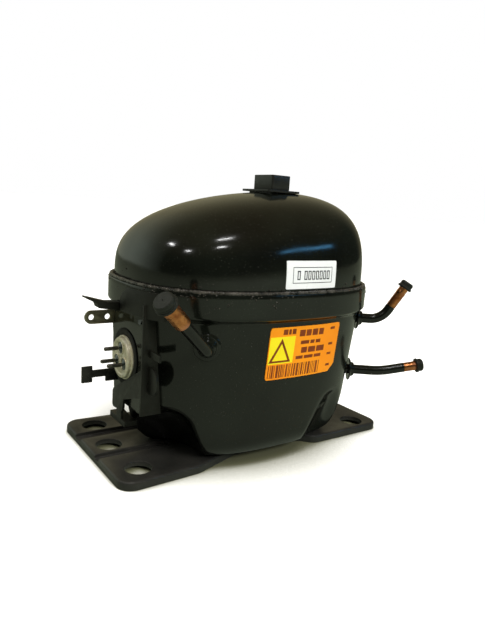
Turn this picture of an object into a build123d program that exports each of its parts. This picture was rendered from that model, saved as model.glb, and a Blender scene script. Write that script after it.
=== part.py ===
"""Hermetic reciprocating compressor: welded steel shell on a mounting plate, with the
sprung motor and pump inside.

Frame, in millimetres: X along the mounting plate with the electrical terminals at -X and the
suction and discharge tubes at +X, -Y towards the labelled side, Z up.  The origin is the centre
of the four mounting holes on the underside of the plate.
"""
from build123d import *
from math import cos, pi, radians, sin, sqrt
import os

# ---------------------------------------------------------------- driving dimensions
# Mounting plate
HOLE_PITCH_X = 170.0
HOLE_PITCH_Y = 70.0
HOLE_RADIUS = 8.0
END_HOLE = (-88.0, 2.0)
PLATE = 3.0
LIP_DEPTH = 2.0
LIP_WALL = 2.0
PLATE_CORNERS = ((-101.0, 51.0), (-52.0, 48.5), (-20.0, 37.3), (32.0, 37.3), (40.0, 46.0), (103.5, 46.0))
CORNER_RADIUS = 9.0
EDGE_ROLL = 1.6
CHANNELS_Y = ((16.5, 25.5), (-14.5, -8.5))
CHANNEL_END_X = -54.0
CHANNEL_STEP = 1.5

# Shell: every horizontal section is a superellipse about X = SHELL_X
SHELL_X = 2.0
ROUNDNESS = 2.6
SECTION_POINTS = 24
SHELL_A = 82.4
SHELL_B = 63.4
WALL = 3.0
FLOOR_Z = PLATE
FLOOR_RADIUS = 14.0
DRAFT = 0.085
RIM_BOTTOM = 88.5
RIM_TOP = 105.5
RIM_PROUD = 3.5
RIM_A = SHELL_A + RIM_PROUD
RIM_B = SHELL_B + RIM_PROUD
FLARE = 3.5
BEAD_HEIGHT = 2.2
DOME_SPRING_Z = 108.0
DOME_HEIGHT = 56.0
DOME_LEAN = 31.0
DOME_STEPS = (0.0, 0.3, 0.5, 0.65, 0.78, 0.88, 0.95, 0.998)
# recesses pressed into the bowl over the feet, each mirrored in Y: middle, radius low and high, top
RECESSES = ((-85.0, 35.0, 40.5, 26.5, 34.5), (85.0, 35.0, 28.5, 26.5, 28.5), (52.0, 84.0, 44.5, 30.0, 42.0))
RECESS_ROUNDING = 8.0
LABEL_LIFT = 0.05
LABEL = 0.4

# Terminal group on the -X end
TERM_Y = -1.0
TERM_Z = 59.0
TERM_RADIUS = 12.7
PAD_X = -80.0
PAD_OUTLINE = ((22.0, 84.5), (16.0, 29.0), (-27.0, 29.0), (-27.0, 84.5))
PAD_CORNER = 5.0
PAD_ROOT_X = -60.0
BEAD_RADIUS = 3.6
PIN_RADIUS = 1.2
PIN_NECK_RADIUS = 0.9
PIN_CIRCLE = 6.0
PIN_TIP_X = -93.5
PIN_NECK_X = -85.0
PIN_END_X = -70.5
SHEET = 1.5
FENCE_X = -82.7
FENCE_Y = -29.0
PANEL_OUTLINE = ((-29, 58.5), (9.5, 36.8), (11, 35.2), (11, 26), (9.5, 24.5), (-4.6, 26), (-6, 34), (-29, 42))
BAND_OUTLINE = ((-41, 88.5), (-41, 103.5), (-12, 103.5), (-4, 97), (-4, 88.5))
LUG_Y = 17.1
LUG_Z = 80.6
LUG_HOLES_X = (-94.8, -84.6)
LUG_RADIUS = 4.2
LUG_HOLE_RADIUS = 1.8

# Pump: the crankshaft is on X = SHELL_X, Y = 0
CRANK_THROW = 9.0
WEB_BOTTOM = 106.6
WEB_TOP = 112.5
ROD_LENGTH = 36.0
PISTON_RADIUS = 12.0
PISTON_LENGTH = 18.0
CYLINDER_Z = 126.0
RUNNING = 0.03
JOURNAL_RADIUS = 8.0
STATOR_BOTTOM = 40.0
STATOR_TOP = 80.0
STATOR_X = 96.0
STATOR_Y = 84.0
ROTOR_RADIUS = 30.6
AIR_GAP = 0.4
BOLT_X = 38.0
BOLT_Y = 32.0
SLOTS = 24
CAGE_BARS = 16
THRUST_Z = 103.8
THRUST_CIRCLE = 10.3
THRUST_BALLS = 10
THRUST_BALL_RADIUS = 1.7

# Tubes
TUBE_RADIUS = 3.3
COPPER_RADIUS = 3.2
PROCESS_COPPER_RADIUS = 4.4
TUBE_WALL = 0.8

PLATE_HOLES = [(sx * HOLE_PITCH_X / 2, sy * HOLE_PITCH_Y / 2) for sx in (-1, 1) for sy in (-1, 1)]
SPRING_SPOTS = [(SHELL_X + sx * BOLT_X, sy * BOLT_Y) for sx in (-1, 1) for sy in (-1, 1)]


# ---------------------------------------------------------------- helpers
def rod(radius, start, end):
    """A round bar from one point to another."""
    start = Vector(start)
    axis = Vector(end) - start
    return Solid.make_cylinder(radius, axis.length, Plane(origin=start, z_dir=axis))


def ring(outer, inner, start, end):
    """A round tube from one point to another."""
    start = Vector(start)
    axis = Vector(end) - start
    over = axis.normalized() * 1.0
    bore = Solid.make_cylinder(inner, axis.length + 2.0, Plane(origin=start - over, z_dir=axis))
    return rod(outer, start, start + axis) - bore


def block(x0, x1, y0, y1, z0, z1):
    """A box given by its limits."""
    centre = Pos((x0 + x1) / 2, (y0 + y1) / 2, (z0 + z1) / 2)
    return centre * Box(x1 - x0, y1 - y0, z1 - z0)


def superellipse(a, b, z, lean=0.0):
    """One closed horizontal section of the shell."""
    points = []
    for step in range(SECTION_POINTS):
        angle = 2 * pi * (step + 0.5) / SECTION_POINTS
        c, s = cos(angle), sin(angle)
        x = SHELL_X + lean + a * (1 if c > 0 else -1) * abs(c) ** (2 / ROUNDNESS)
        y = b * (1 if s > 0 else -1) * abs(s) ** (2 / ROUNDNESS)
        points.append((x, y, z))
    return Wire([Spline(*points, periodic=True)])


def lower_form(offset):
    """The pressed lower bowl as a closed solid, grown or shrunk by offset."""
    floor = FLOOR_Z - offset
    radius = FLOOR_RADIUS + offset
    sections = []
    for degrees in (90, 65, 42, 20, 0):
        angle = radians(degrees)
        z = floor + radius * (1 - sin(angle))
        inset = radius * (1 - cos(angle)) + DRAFT * (RIM_BOTTOM - z)
        sections.append(superellipse(SHELL_A + offset - inset, SHELL_B + offset - inset, z))
    sections.append(superellipse(SHELL_A + offset, SHELL_B + offset, RIM_BOTTOM))
    return Solid.make_loft(sections, ruled=True)


def seat_form(grow):
    """The flat pressed seat of the terminal on the bowl's end, grown or shrunk."""
    outline = make_face(Polyline(*PAD_OUTLINE, close=True))
    outline = fillet(outline.vertices(), PAD_CORNER)
    if grow:
        outline = offset(outline, amount=grow)
    return extrude(Plane.YZ.offset(PAD_X - grow) * outline, PAD_ROOT_X - PAD_X)


def dome_section(offset, t):
    """The dome's horizontal section at a fraction t of its height."""
    size = sqrt(1 - t ** 3)
    z = DOME_SPRING_Z + (DOME_HEIGHT + offset) * t
    return superellipse((SHELL_A + offset) * size, (SHELL_B + offset) * size, z, DOME_LEAN * t ** 2.8)


def dome_form(offset, bottom):
    """The drawn upper dome as a closed solid; its crown leans towards the +X end."""
    sections = [superellipse(SHELL_A + offset, SHELL_B + offset, bottom)]
    sections += [dome_section(offset, t) for t in DOME_STEPS]
    return Solid.make_loft(sections, ruled=True)


def prism(a, b, z0, z1):
    """A straight superellipse prism."""
    return Solid.make_loft([superellipse(a, b, z0), superellipse(a, b, z1)], ruled=True)


def tube_path(points, radii):
    """A bent tube's centre line: straight runs joined by tangent arcs."""
    return FilletPolyline(*points, radius=radii)


def swept_tube(path, outer, inner):
    """A hollow tube swept along a path."""
    plane = Plane(origin=path @ 0, z_dir=path % 0)
    outside = sweep(plane * Circle(outer), path=path)
    inside = sweep(plane * Circle(inner), path=path)
    return outside - inside


# ---------------------------------------------------------------- mounting plate and shell
def make_base_plate():
    """Pressed plate: two wide feet, a waist, rolled-down lips and two stiffening channels."""
    near = [(x, -y) for x, y in PLATE_CORNERS]
    far = list(reversed(PLATE_CORNERS))
    outline = make_face(Polyline(*near, *far, close=True))
    outline = fillet(outline.vertices(), CORNER_RADIUS)
    plate = extrude(outline, PLATE + LIP_DEPTH)
    plate = fillet(plate.edges().group_by(Axis.Z)[-1], EDGE_ROLL)
    plate -= extrude(offset(outline, amount=-LIP_WALL), LIP_DEPTH)
    plate = Pos(0, 0, -LIP_DEPTH) * plate
    left = PLATE_CORNERS[0][0]
    for y0, y1 in CHANNELS_Y:
        plate += block(left + EDGE_ROLL, CHANNEL_END_X + LIP_WALL, y0 - LIP_WALL, y1 + LIP_WALL,
                       -LIP_DEPTH, PLATE - LIP_DEPTH)
    for y0, y1 in CHANNELS_Y:
        floor = PLATE - LIP_DEPTH
        plate -= block(left - 1, CHANNEL_END_X, y0, y1, floor, PLATE + 1)
        plate -= block(left - 1, CHANNEL_END_X - LIP_WALL, y0 + CHANNEL_STEP, y1 - CHANNEL_STEP,
                       floor - 0.5, PLATE)
    for x, y in PLATE_HOLES + [END_HOLE]:
        plate -= Pos(x, y, 0) * Cylinder(HOLE_RADIUS, 30)
    return plate


def recess_form(x, y, low, high, top, side, grow):
    """One tapering recess with a rounded top, grown by a wall thickness for the inner face."""
    height = top + grow - FLOOR_Z
    form = Cone(low + grow, high + grow, height)
    form = fillet(form.edges().group_by(Axis.Z)[-1], RECESS_ROUNDING + grow)
    return Pos(x, side * y, FLOOR_Z + height / 2) * form


def make_lower_shell():
    """Lower bowl with recesses over the feet, a terminal seat and a flared rim."""
    outside = lower_form(0.0) + seat_form(0.0)
    inside = lower_form(-WALL) + seat_form(-WALL)
    for recess in RECESSES:
        for side in (-1, 1):
            outside -= recess_form(*recess, side, 0.0)
            inside -= recess_form(*recess, side, WALL)
    flare = Solid.make_loft([superellipse(SHELL_A, SHELL_B, RIM_BOTTOM),
                             superellipse(RIM_A, RIM_B, RIM_BOTTOM + FLARE)], ruled=True)
    outside += flare + prism(RIM_A, RIM_B, RIM_BOTTOM + FLARE, RIM_TOP)
    shell = outside - inside
    shell -= prism(SHELL_A - WALL, SHELL_B - WALL, RIM_BOTTOM - 1, RIM_BOTTOM + FLARE + 1)
    shell -= prism(SHELL_A + 0.15, SHELL_B + 0.15, RIM_BOTTOM + FLARE, RIM_TOP + 1)
    shell -= rod(TERM_RADIUS - 0.5, on_axis(PAD_X - 1), on_axis(PAD_ROOT_X))
    for name in TUBES:
        start, normal = TUBES[name]["root"], TUBES[name]["normal"]
        shell -= rod(TUBE_RADIUS, along(start, normal, -12), along(start, normal, 6))
    return shell


def make_upper_shell():
    """Dome that telescopes into the lower bowl's rim."""
    bottom = RIM_BOTTOM + FLARE + 0.2
    return dome_form(0.0, bottom) - dome_form(-WALL, bottom - 1)


def make_seam_weld():
    """Weld bead closing the rim onto the dome."""
    top = RIM_TOP + BEAD_HEIGHT
    outer = Solid.make_loft([superellipse(RIM_A - 0.6, RIM_B - 0.6, RIM_TOP),
                             superellipse(SHELL_A + 0.9, SHELL_B + 0.9, top)], ruled=True)
    return outer - prism(SHELL_A + 0.05, SHELL_B + 0.05, RIM_TOP - 1, top + 1)


def make_top_clip():
    """Thin strap plate standing just clear of the crown on two welded feet."""
    x, z = 21.5, 161.9
    plate = block(x - 13, x + 13, -15.5, 15.5, z + 1.6, z + 3.0)
    plate = fillet(plate.edges().filter_by(Axis.Z), 1.5)
    feet = block(x - 9, x - 3, -12, 12, z - 2.5, z + 2.0) + block(x + 4, x + 9, -11, 11, z - 2.0, z + 2.0)
    return plate + feet - dome_form(0.05, 100)


def make_top_clip_block():
    """Folded catch that sits on the strap plate."""
    x, z = 22.0, 165.0
    catch = block(x - 7.5, x + 7.5, -10.5, 10.5, z, z + 9.6)
    catch = fillet(catch.edges().filter_by(Axis.Z), 1.2)
    catch -= block(x - 5.7, x + 8, -8.7, 8.7, z + 1.5, z + 8.0)
    return catch


def skin(sections_at, lift):
    """The solid bounded by a stack of shell sections grown by lift."""
    return Solid.make_loft([section(lift) for section in sections_at], ruled=True)


def sticker(sections_at, x0, x1, z0, z1):
    """A thin label that lies on the shell's front, cut from a skin that follows the sections."""
    film = skin(sections_at, LABEL_LIFT + LABEL) - skin(sections_at, LABEL_LIFT)
    return film & block(x0, x1, -90, -20, z0, z1)


def lower_section(offset, z):
    """The lower bowl's horizontal section above its bottom rounding."""
    inset = DRAFT * (RIM_BOTTOM - z)
    return superellipse(SHELL_A + offset - inset, SHELL_B + offset - inset, z)


def make_rating_label():
    """Large label on the bowl's front."""
    sections = [lambda lift: lower_section(lift, 50), lambda lift: lower_section(lift, RIM_BOTTOM)]
    return sticker(sections, -18.7, 38.0, 53.5, 86.2)


def make_serial_label():
    """Small label on the dome just above the weld, bent over the same facets as the dome."""
    sections = [lambda lift: superellipse(SHELL_A + lift, SHELL_B + lift, DOME_SPRING_Z - 1)]
    for t in DOME_STEPS[:3]:
        sections.append(lambda lift, t=t: dome_section(lift, t))
    return sticker(sections, -11.0, 28.7, 108.0, 124.8)


# ---------------------------------------------------------------- tubes
def along(point, direction, distance):
    """The point reached by walking a distance along a unit direction."""
    return tuple(p + distance * d for p, d in zip(point, direction))


def unit(vector):
    """The vector scaled to length one."""
    length = sqrt(sum(v * v for v in vector))
    return tuple(v / length for v in vector)


PROCESS_NORMAL = unit((-0.48, -0.88, 0.0))
SIDE_NORMAL = unit((0.8166, -0.577, 0.0))
TUBES = {
    "process": {"root": (-53.6, -51.4, 75.3), "normal": PROCESS_NORMAL, "outer": PROCESS_COPPER_RADIUS,
                "run": 14.0, "end": (-93.9, -76.2, 106.6), "bend": 8.0, "copper_length": 19.0},
    "suction": {"root": (74.6, -37.8, 82.0), "normal": SIDE_NORMAL, "outer": COPPER_RADIUS,
                "run": 18.5, "end": (102.0, -57.2, 107.5), "bend": 14.0, "copper_length": 18.6},
    "discharge": {"root": (73.0, -36.6, 44.6), "normal": SIDE_NORMAL, "outer": COPPER_RADIUS,
                  "run": 24.0, "end": (116.4, -65.4, 50.6), "bend": 60.0, "copper_length": 12.0},
}
CAP_GRIP = 3.2
CAP_WALL = 1.3
CAP_CROWN = 1.6
CAP_RIM = 0.5
CAP_RIM_WIDTH = 1.4
CAP_CLEARANCE = 0.05


def elbow(spec):
    """The corner where a tube turns from the shell's normal towards its end."""
    return along(spec["root"], spec["normal"], spec["run"])


def tube_end(name):
    """The open end of a tube and the unit direction it points in."""
    spec = TUBES[name]
    return spec["end"], unit(tuple(e - b for e, b in zip(spec["end"], elbow(spec))))


def make_tube(name):
    """Painted steel stub from inside the shell to where the copper starts."""
    spec = TUBES[name]
    end, direction = tube_end(name)
    inner_end = along(spec["root"], spec["normal"], -9)
    stop = along(end, direction, -spec["copper_length"])
    path = tube_path([inner_end, elbow(spec), stop], [spec["bend"]])
    return swept_tube(path, TUBE_RADIUS, TUBE_RADIUS - TUBE_WALL)


def make_copper_end(name):
    """Bare copper end of a tube."""
    spec = TUBES[name]
    end, direction = tube_end(name)
    start = along(end, direction, -spec["copper_length"])
    return ring(spec["outer"], spec["outer"] - TUBE_WALL, start, end)


def make_cap(name):
    """Rubber transport cap gripping the last few millimetres of the copper."""
    end, direction = tube_end(name)
    bore = TUBES[name]["outer"] + CAP_CLEARANCE
    outer = TUBES[name]["outer"] + CAP_WALL
    mouth = along(end, direction, -CAP_GRIP)
    seat = along(end, direction, 0.2)
    skirt = ring(outer, bore, mouth, seat)
    crown = rod(outer, seat, along(seat, direction, CAP_CROWN))
    flange = ring(outer + CAP_RIM, bore, mouth, along(mouth, direction, CAP_RIM_WIDTH))
    return skirt + crown + flange


def make_tube_collars():
    """Welded collars where the three tubes pass through the shell."""
    collars = []
    for name in TUBES:
        spec = TUBES[name]
        start = along(spec["root"], spec["normal"], 1.2)
        base = ring(6.8, TUBE_RADIUS, start, along(start, spec["normal"], 1.6))
        neck = ring(TUBE_RADIUS + 1.3, TUBE_RADIUS, start, along(start, spec["normal"], 4.0))
        collars.append((base + neck).solid())
    return Compound(children=collars)


# ---------------------------------------------------------------- terminal group
def pin_spots():
    """Y and Z of the three pins, one at the top of their circle."""
    turns = [radians(degrees) for degrees in (90, 210, 330)]
    return [(TERM_Y + PIN_CIRCLE * cos(turn), TERM_Z + PIN_CIRCLE * sin(turn)) for turn in turns]


def on_axis(x):
    """The point of the terminal's axis at x."""
    return (x, TERM_Y, TERM_Z)


def make_terminal_body():
    """Steel cup of the glass-sealed terminal."""
    outer = TERM_RADIUS - 0.5
    face = rod(outer, on_axis(PAD_X - 3.0), on_axis(PAD_X - 0.8))
    skirt = ring(outer, outer - 1.7, on_axis(PAD_X - 3.0), on_axis(-71.0))
    brim = ring(TERM_RADIUS + 0.8, outer - 0.1, on_axis(PAD_X - 1.4), on_axis(PAD_X))
    cup = face + skirt + brim
    for y, z in pin_spots():
        cup -= rod(BEAD_RADIUS, (PAD_X - 6, y, z), (-60, y, z))
    return cup


def make_terminal_seals():
    """Three glass beads."""
    beads = []
    for y, z in pin_spots():
        beads.append(ring(BEAD_RADIUS, PIN_NECK_RADIUS, (PAD_X - 3.4, y, z), (PAD_X - 0.6, y, z)).solid())
    return Compound(children=beads)


def make_terminal_pins():
    """Three contact pins through the beads: a plug-in length and a thinner neck."""
    pins = []
    for y, z in pin_spots():
        contact = rod(PIN_RADIUS, (PIN_TIP_X, y, z), (PIN_NECK_X, y, z))
        contact = chamfer(contact.edges().sort_by(Axis.X)[0], 0.5)
        neck = rod(PIN_NECK_RADIUS, (PIN_NECK_X, y, z), (PIN_END_X, y, z))
        pins.append((contact + neck).solid())
    return Compound(children=pins)


def make_terminal_bracket():
    """Pressed fence: sloping lower panel, front flange, band over the rim, side lugs and a foot."""
    x0, x1 = FENCE_X, FENCE_X + SHEET
    y0, y1 = FENCE_Y - SHEET, FENCE_Y
    panel = extrude(Plane.YZ.offset(x0) * make_face(Polyline(*PANEL_OUTLINE, close=True)), SHEET)
    flange = block(x0, -66, y0, y1, 31.5, 88) - on_shell()
    upright = block(x0, -72, y0, y1, 87, 96) - prism(RIM_A, RIM_B, 80, 100)
    band = extrude(Plane.YZ.offset(-100) * make_face(Polyline(*BAND_OUTLINE, close=True)), 50)
    band &= prism(RIM_A + SHEET, RIM_B + SHEET, 80, 110) - prism(RIM_A + 0.05, RIM_B + 0.05, 79, 111)
    wing = block(-78.8, -77.6, -44, y1, 66.5, 70.5)
    lobe = rod(8.0, (-78.8, -34, 53), (-77.6, -34, 53)) & block(-79, -77, -45, y1, 44, 62)
    foot = block(x0, -70, -9, 14, 17, 20.5) - on_shell()
    leg = block(x0, x1, -3, 4, 20, 27)
    return panel + flange + upright + band + wing + lobe + foot + leg


def make_ground_lug():
    """Earthing lug with two holes, standing out from the shell beyond the terminal."""
    tip, inner = LUG_HOLES_X
    y0, y1 = LUG_Y, LUG_Y + SHEET
    body = block(tip, -66, y0, y1, LUG_Z - LUG_RADIUS, LUG_Z + LUG_RADIUS)
    body += rod(LUG_RADIUS, (tip, y0, LUG_Z), (tip, y1, LUG_Z))
    for x in (tip, inner):
        body -= rod(LUG_HOLE_RADIUS, (x, y0 - 1, LUG_Z), (x, y1 + 1, LUG_Z))
    return (body - on_shell()).solid()


def on_shell():
    """The bowl with its terminal seat, to trim the fittings that are welded onto it."""
    return lower_form(0.0) + seat_form(0.0)


def make_retainer_spring():
    """Springy tongue on the rim that holds the starting device's cover."""
    profile = [(-78, 93), (-92.4, 93.5), (-105.0, 96.8), (-105.3, 96.0), (-98.6, 92.8), (-97.4, 90.0),
               (-83, 87.6), (-78, 87.6)]
    tongue = extrude(Plane.XZ.offset(2.5) * make_face(Polyline(*profile, close=True)), -8)
    return tongue - prism(RIM_A + 0.02, RIM_B + 0.02, 80, 110)


def make_relay_hook():
    """T-shaped hook for the starting device."""
    y0, y1 = 13.0, 14.5
    head = block(-101.8, -95.0, y0, y1, 40.5, 51.0)
    neck = block(-95.5, -80.0, y0, y1, 43.5, 48.2)
    body = block(-86.6, -70.0, y0, y1, 40.2, 47.5)
    return head + neck + (body - on_shell())


# ---------------------------------------------------------------- suspension
def make_spring_studs():
    """Studs welded to the shell floor that carry the springs."""
    cavity = lower_form(-WALL - 0.02)
    studs = []
    for x, y in SPRING_SPOTS:
        stud = rod(5.5, (x, y, FLOOR_Z + WALL), (x, y, 13.0)) + rod(7.4, (x, y, 12.5), (x, y, 15.0))
        stud += rod(4.6, (x, y, 14.0), (x, y, 20.5))
        studs.append((stud & cavity).solid())
    return Compound(children=studs)


def make_suspension_springs():
    """Four coil springs under the motor."""
    springs = []
    for x, y in SPRING_SPOTS:
        path = Helix(pitch=3.6, height=16.2, radius=6.0)
        wire = sweep(Plane(origin=path @ 0, z_dir=path % 0) * Circle(0.8), path=path, is_frenet=True)
        springs.append(Pos(x, y, 15.9) * wire.solid())
    return Compound(children=springs)


def make_spring_holders():
    """Upper spring cups clamped under the motor bolts."""
    holders = []
    for x, y in SPRING_SPOTS:
        cup = rod(7.4, (x, y, 33.0), (x, y, 36.0)) + rod(4.6, (x, y, 27.0), (x, y, 34.0))
        holders.append(cup.solid())
    return Compound(children=holders)


# ---------------------------------------------------------------- motor
def make_stator_core():
    """Laminated stack with a round bore and slots for the windings."""
    outline = Rectangle(STATOR_X, STATOR_Y)
    outline = fillet(outline.vertices(), 11)
    outline -= Circle(ROTOR_RADIUS + AIR_GAP)
    for step in range(SLOTS):
        slot = Rot(0, 0, 360 / SLOTS * step) * Pos(35.2, 0) * Rectangle(7.6, 3.4)
        outline -= slot
    for x, y in SPRING_SPOTS:
        outline -= Pos(x - SHELL_X, y) * Circle(2.6)
    return Pos(SHELL_X, 0, STATOR_BOTTOM) * extrude(outline, STATOR_TOP - STATOR_BOTTOM)


def make_stator_windings():
    """Copper winding: a head below, a head above and a bundle through each slot."""
    centre = Pos(SHELL_X, 0, 0)
    heads = []
    for z0, z1 in ((29.0, STATOR_BOTTOM - 0.2), (STATOR_TOP + 0.2, 91.0)):
        head = Pos(0, 0, (z0 + z1) / 2) * (Cylinder(41.8, z1 - z0) - Cylinder(33, z1 - z0))
        heads.append(fillet(head.edges(), 3.0))
    winding = heads[0] + heads[1]
    for step in range(SLOTS):
        bundle = block(33.0, 38.4, -1.4, 1.4, 35, 85)
        winding += Rot(0, 0, 360 / SLOTS * step) * bundle
    return centre * winding


def make_stator_bolts():
    """Four long bolts from the spring cups up into the cylinder block."""
    bolts = []
    for x, y in SPRING_SPOTS:
        head = extrude(Pos(x, y, 36.0) * RegularPolygon(4.5, 6), 4.0)
        bolt = head + rod(2.5, (x, y, 39.0), (x, y, 98.0))
        bolts.append(bolt.solid())
    return Compound(children=bolts)


def make_rotor_core():
    """Laminated rotor on the crankshaft."""
    core = Cylinder(ROTOR_RADIUS, 42) - Cylinder(JOURNAL_RADIUS, 50)
    for step in range(CAGE_BARS):
        core -= Rot(0, 0, 360 / CAGE_BARS * step) * Pos(26.0, 0, 0) * Cylinder(1.8, 50)
    return Pos(SHELL_X, 0, 60.0) * core


def make_rotor_cage():
    """Cast aluminium end rings joined by the cage bars."""
    cage = Pos(0, 0, 36.5) * (Cylinder(29, 5) - Cylinder(17, 6))
    cage += Pos(0, 0, 83.5) * (Cylinder(29, 5) - Cylinder(17, 6))
    for step in range(CAGE_BARS):
        cage += Rot(0, 0, 360 / CAGE_BARS * step) * Pos(26.0, 0, 60.0) * Cylinder(1.8, 44)
    return Pos(SHELL_X, 0, 0) * cage


# ---------------------------------------------------------------- crank train
def make_crankshaft():
    """Shaft, crank web and counterweight in one casting, with an oil drilling."""
    shaft = rod(JOURNAL_RADIUS, (0, 0, 24.0), (0, 0, 107.0))
    web = rod(13.0, (0, 0, WEB_BOTTOM), (0, 0, WEB_TOP))
    web += rod(9.0, (-CRANK_THROW, 0, WEB_BOTTOM), (-CRANK_THROW, 0, WEB_TOP))
    weight = rod(25.0, (0, 0, WEB_BOTTOM), (0, 0, WEB_TOP)) & block(4.0, 26, -26, 26, 100, 120)
    shaft = shaft + web + weight - rod(2.0, (0, 0, 23), (0, 0, 100))
    return Pos(SHELL_X, 0, 0) * shaft


def make_oil_pickup():
    """Pressed tube on the shaft's lower end that lifts the oil."""
    pickup = ring(5.0, 4.2, (0, 0, 12.0), (0, 0, 24.0)) + ring(5.0, 2.0, (0, 0, 23.0), (0, 0, 24.0))
    return Pos(SHELL_X, 0, 0) * pickup


def make_crank_pin():
    """Crank pin; it stands 0.4 above the web, where the linkage is opened."""
    x = SHELL_X - CRANK_THROW
    return rod(6.0, (x, 0, 112.9), (x, 0, 133.0))


def wrist_x():
    """X of the wrist pin with the piston at the start of its stroke."""
    return SHELL_X - CRANK_THROW + ROD_LENGTH


def make_connecting_rod():
    """Rod with a big eye on the crank pin and a small eye on the wrist pin."""
    big, small = SHELL_X - CRANK_THROW, wrist_x()
    body = rod(9.5, (big, 0, 119.5), (big, 0, 132.5)) + rod(6.2, (small, 0, 121.5), (small, 0, 130.5))
    body += block(big, small, -4, 4, 122.5, 129.5)
    body -= rod(6.0 + RUNNING, (big, 0, 110), (big, 0, 140))
    return body - rod(3.5 + RUNNING, (small, 0, 110), (small, 0, 140))


def make_wrist_pin():
    """Hollow pin that joins the rod to the piston."""
    x = wrist_x()
    return ring(3.5, 1.6, (x, 0, CYLINDER_Z - 9.5), (x, 0, CYLINDER_Z + 9.5))


def make_piston():
    """Hollow piston, open towards the crank, with the wrist pin across it."""
    x = wrist_x()
    start, end = x - 8.0, x + PISTON_LENGTH - 8.0
    body = rod(PISTON_RADIUS, (start, 0, CYLINDER_Z), (end, 0, CYLINDER_Z))
    body -= block(start - 1, x + 7.0, -7.6, 7.6, CYLINDER_Z - 6.5, CYLINDER_Z + 6.5)
    body -= block(start - 1, x - 2.0, -10, 10, CYLINDER_Z - 6.5, CYLINDER_Z + 6.5)
    return body - rod(3.5, (x, 0, 100), (x, 0, 150))


BARREL_START = 24.0
BARREL_END = wrist_x() + PISTON_LENGTH - 8.0 + 2 * CRANK_THROW + 0.4
GASKET = 0.6
VALVE_PLATE = 3.0
HEAD_BOLT_Y = 16.0
HEAD_BOLT_Z = 14.5
HEAD_THICKNESS = 10.0


def head_bolt_spots():
    """Y and Z of the four head bolts."""
    return [(sy * HEAD_BOLT_Y, CYLINDER_Z + sz * HEAD_BOLT_Z) for sy in (-1, 1) for sz in (-1, 1)]


def head_face(x0, x1):
    """The square block shared by the barrel's end, the valve plate and the head."""
    face = block(x0, x1, -21, 21, CYLINDER_Z - 20, CYLINDER_Z + 20)
    return fillet(face.edges().filter_by(Axis.X), 5.0)


def make_cylinder_block():
    """Cast block: bearing, table, four legs, cylinder barrel and its square end."""
    x = SHELL_X
    table = Pos(x, 0, 97.0) * Box(88, 74, 8)
    table = fillet(table.edges().filter_by(Axis.Z), 9)
    casting = table + rod(14.0, (x, 0, 90.0), (x, 0, 101.0))
    for px, py in SPRING_SPOTS:
        casting += rod(5.6, (px, py, STATOR_TOP), (px, py, 95.0))
    casting += rod(17.5, (BARREL_START, 0, CYLINDER_Z), (BARREL_END, 0, CYLINDER_Z))
    casting += block(BARREL_START + 6, BARREL_END, -17.5, 17.5, 100.0, CYLINDER_Z)
    casting += head_face(BARREL_END - 7, BARREL_END)
    casting -= rod(PISTON_RADIUS + RUNNING, (0, 0, CYLINDER_Z), (80, 0, CYLINDER_Z))
    casting -= Pos(x, 0, 110) * Cylinder(26.5, 18.6) & block(-30, 30, -27, 27, 101.0, 114.5)
    casting -= rod(JOURNAL_RADIUS + RUNNING, (x, 0, 80), (x, 0, 110))
    for px, py in SPRING_SPOTS:
        casting -= rod(2.5, (px, py, 70), (px, py, 98.0))
    for y, z in head_bolt_spots():
        casting -= rod(2.0, (BARREL_END - 9, y, z), (BARREL_END + 1, y, z))
    return casting


def make_thrust_races():
    """Two hardened washers, one on the block and one under the crank web."""
    races = []
    for z0, z1 in ((101.0, 102.0), (105.6, 106.55)):
        races.append(ring(12.5, 8.3, (SHELL_X, 0, z0), (SHELL_X, 0, z1)).solid())
    return races


def make_thrust_balls():
    """Bearing balls between the two washers."""
    balls = []
    for step in range(THRUST_BALLS):
        turn = Rot(0, 0, 360 / THRUST_BALLS * step)
        ball = Pos(SHELL_X, 0, THRUST_Z) * turn * Pos(THRUST_CIRCLE, 0, 0) * Sphere(THRUST_BALL_RADIUS)
        balls.append(ball.solid())
    return Compound(children=balls)


def make_thrust_cage():
    """Plastic cage that spaces the balls."""
    cage = Cylinder(12.4, 1.6) - Cylinder(8.4, 2)
    for step in range(THRUST_BALLS):
        turn = Rot(0, 0, 360 / THRUST_BALLS * step)
        cage -= turn * Pos(THRUST_CIRCLE, 0, 0) * Cylinder(THRUST_BALL_RADIUS + 0.05, 3)
    return Pos(SHELL_X, 0, THRUST_Z) * cage


# ---------------------------------------------------------------- valves and head
def with_bolt_holes(body, x0, x1):
    """The body with clearance holes for the head bolts."""
    for y, z in head_bolt_spots():
        body -= rod(2.1, (x0 - 1, y, z), (x1 + 1, y, z))
    return body


def make_cylinder_gasket():
    """Sheet between the barrel and the valve plate."""
    x0, x1 = BARREL_END, BARREL_END + GASKET
    sheet = with_bolt_holes(head_face(x0, x1), x0, x1)
    return sheet - rod(PISTON_RADIUS + 0.6, (x0 - 1, 0, CYLINDER_Z), (x1 + 1, 0, CYLINDER_Z))


def make_suction_reed():
    """Spring-steel leaf that uncovers the suction port from the cylinder side."""
    x0 = BARREL_END + 0.15
    x1 = BARREL_END + GASKET - 0.1
    leaf = block(x0, x1, -2.5, 2.5, CYLINDER_Z - 10.5, CYLINDER_Z + 6)
    return leaf + rod(4.2, (x0, 0, CYLINDER_Z + 5), (x1, 0, CYLINDER_Z + 5))


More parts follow.
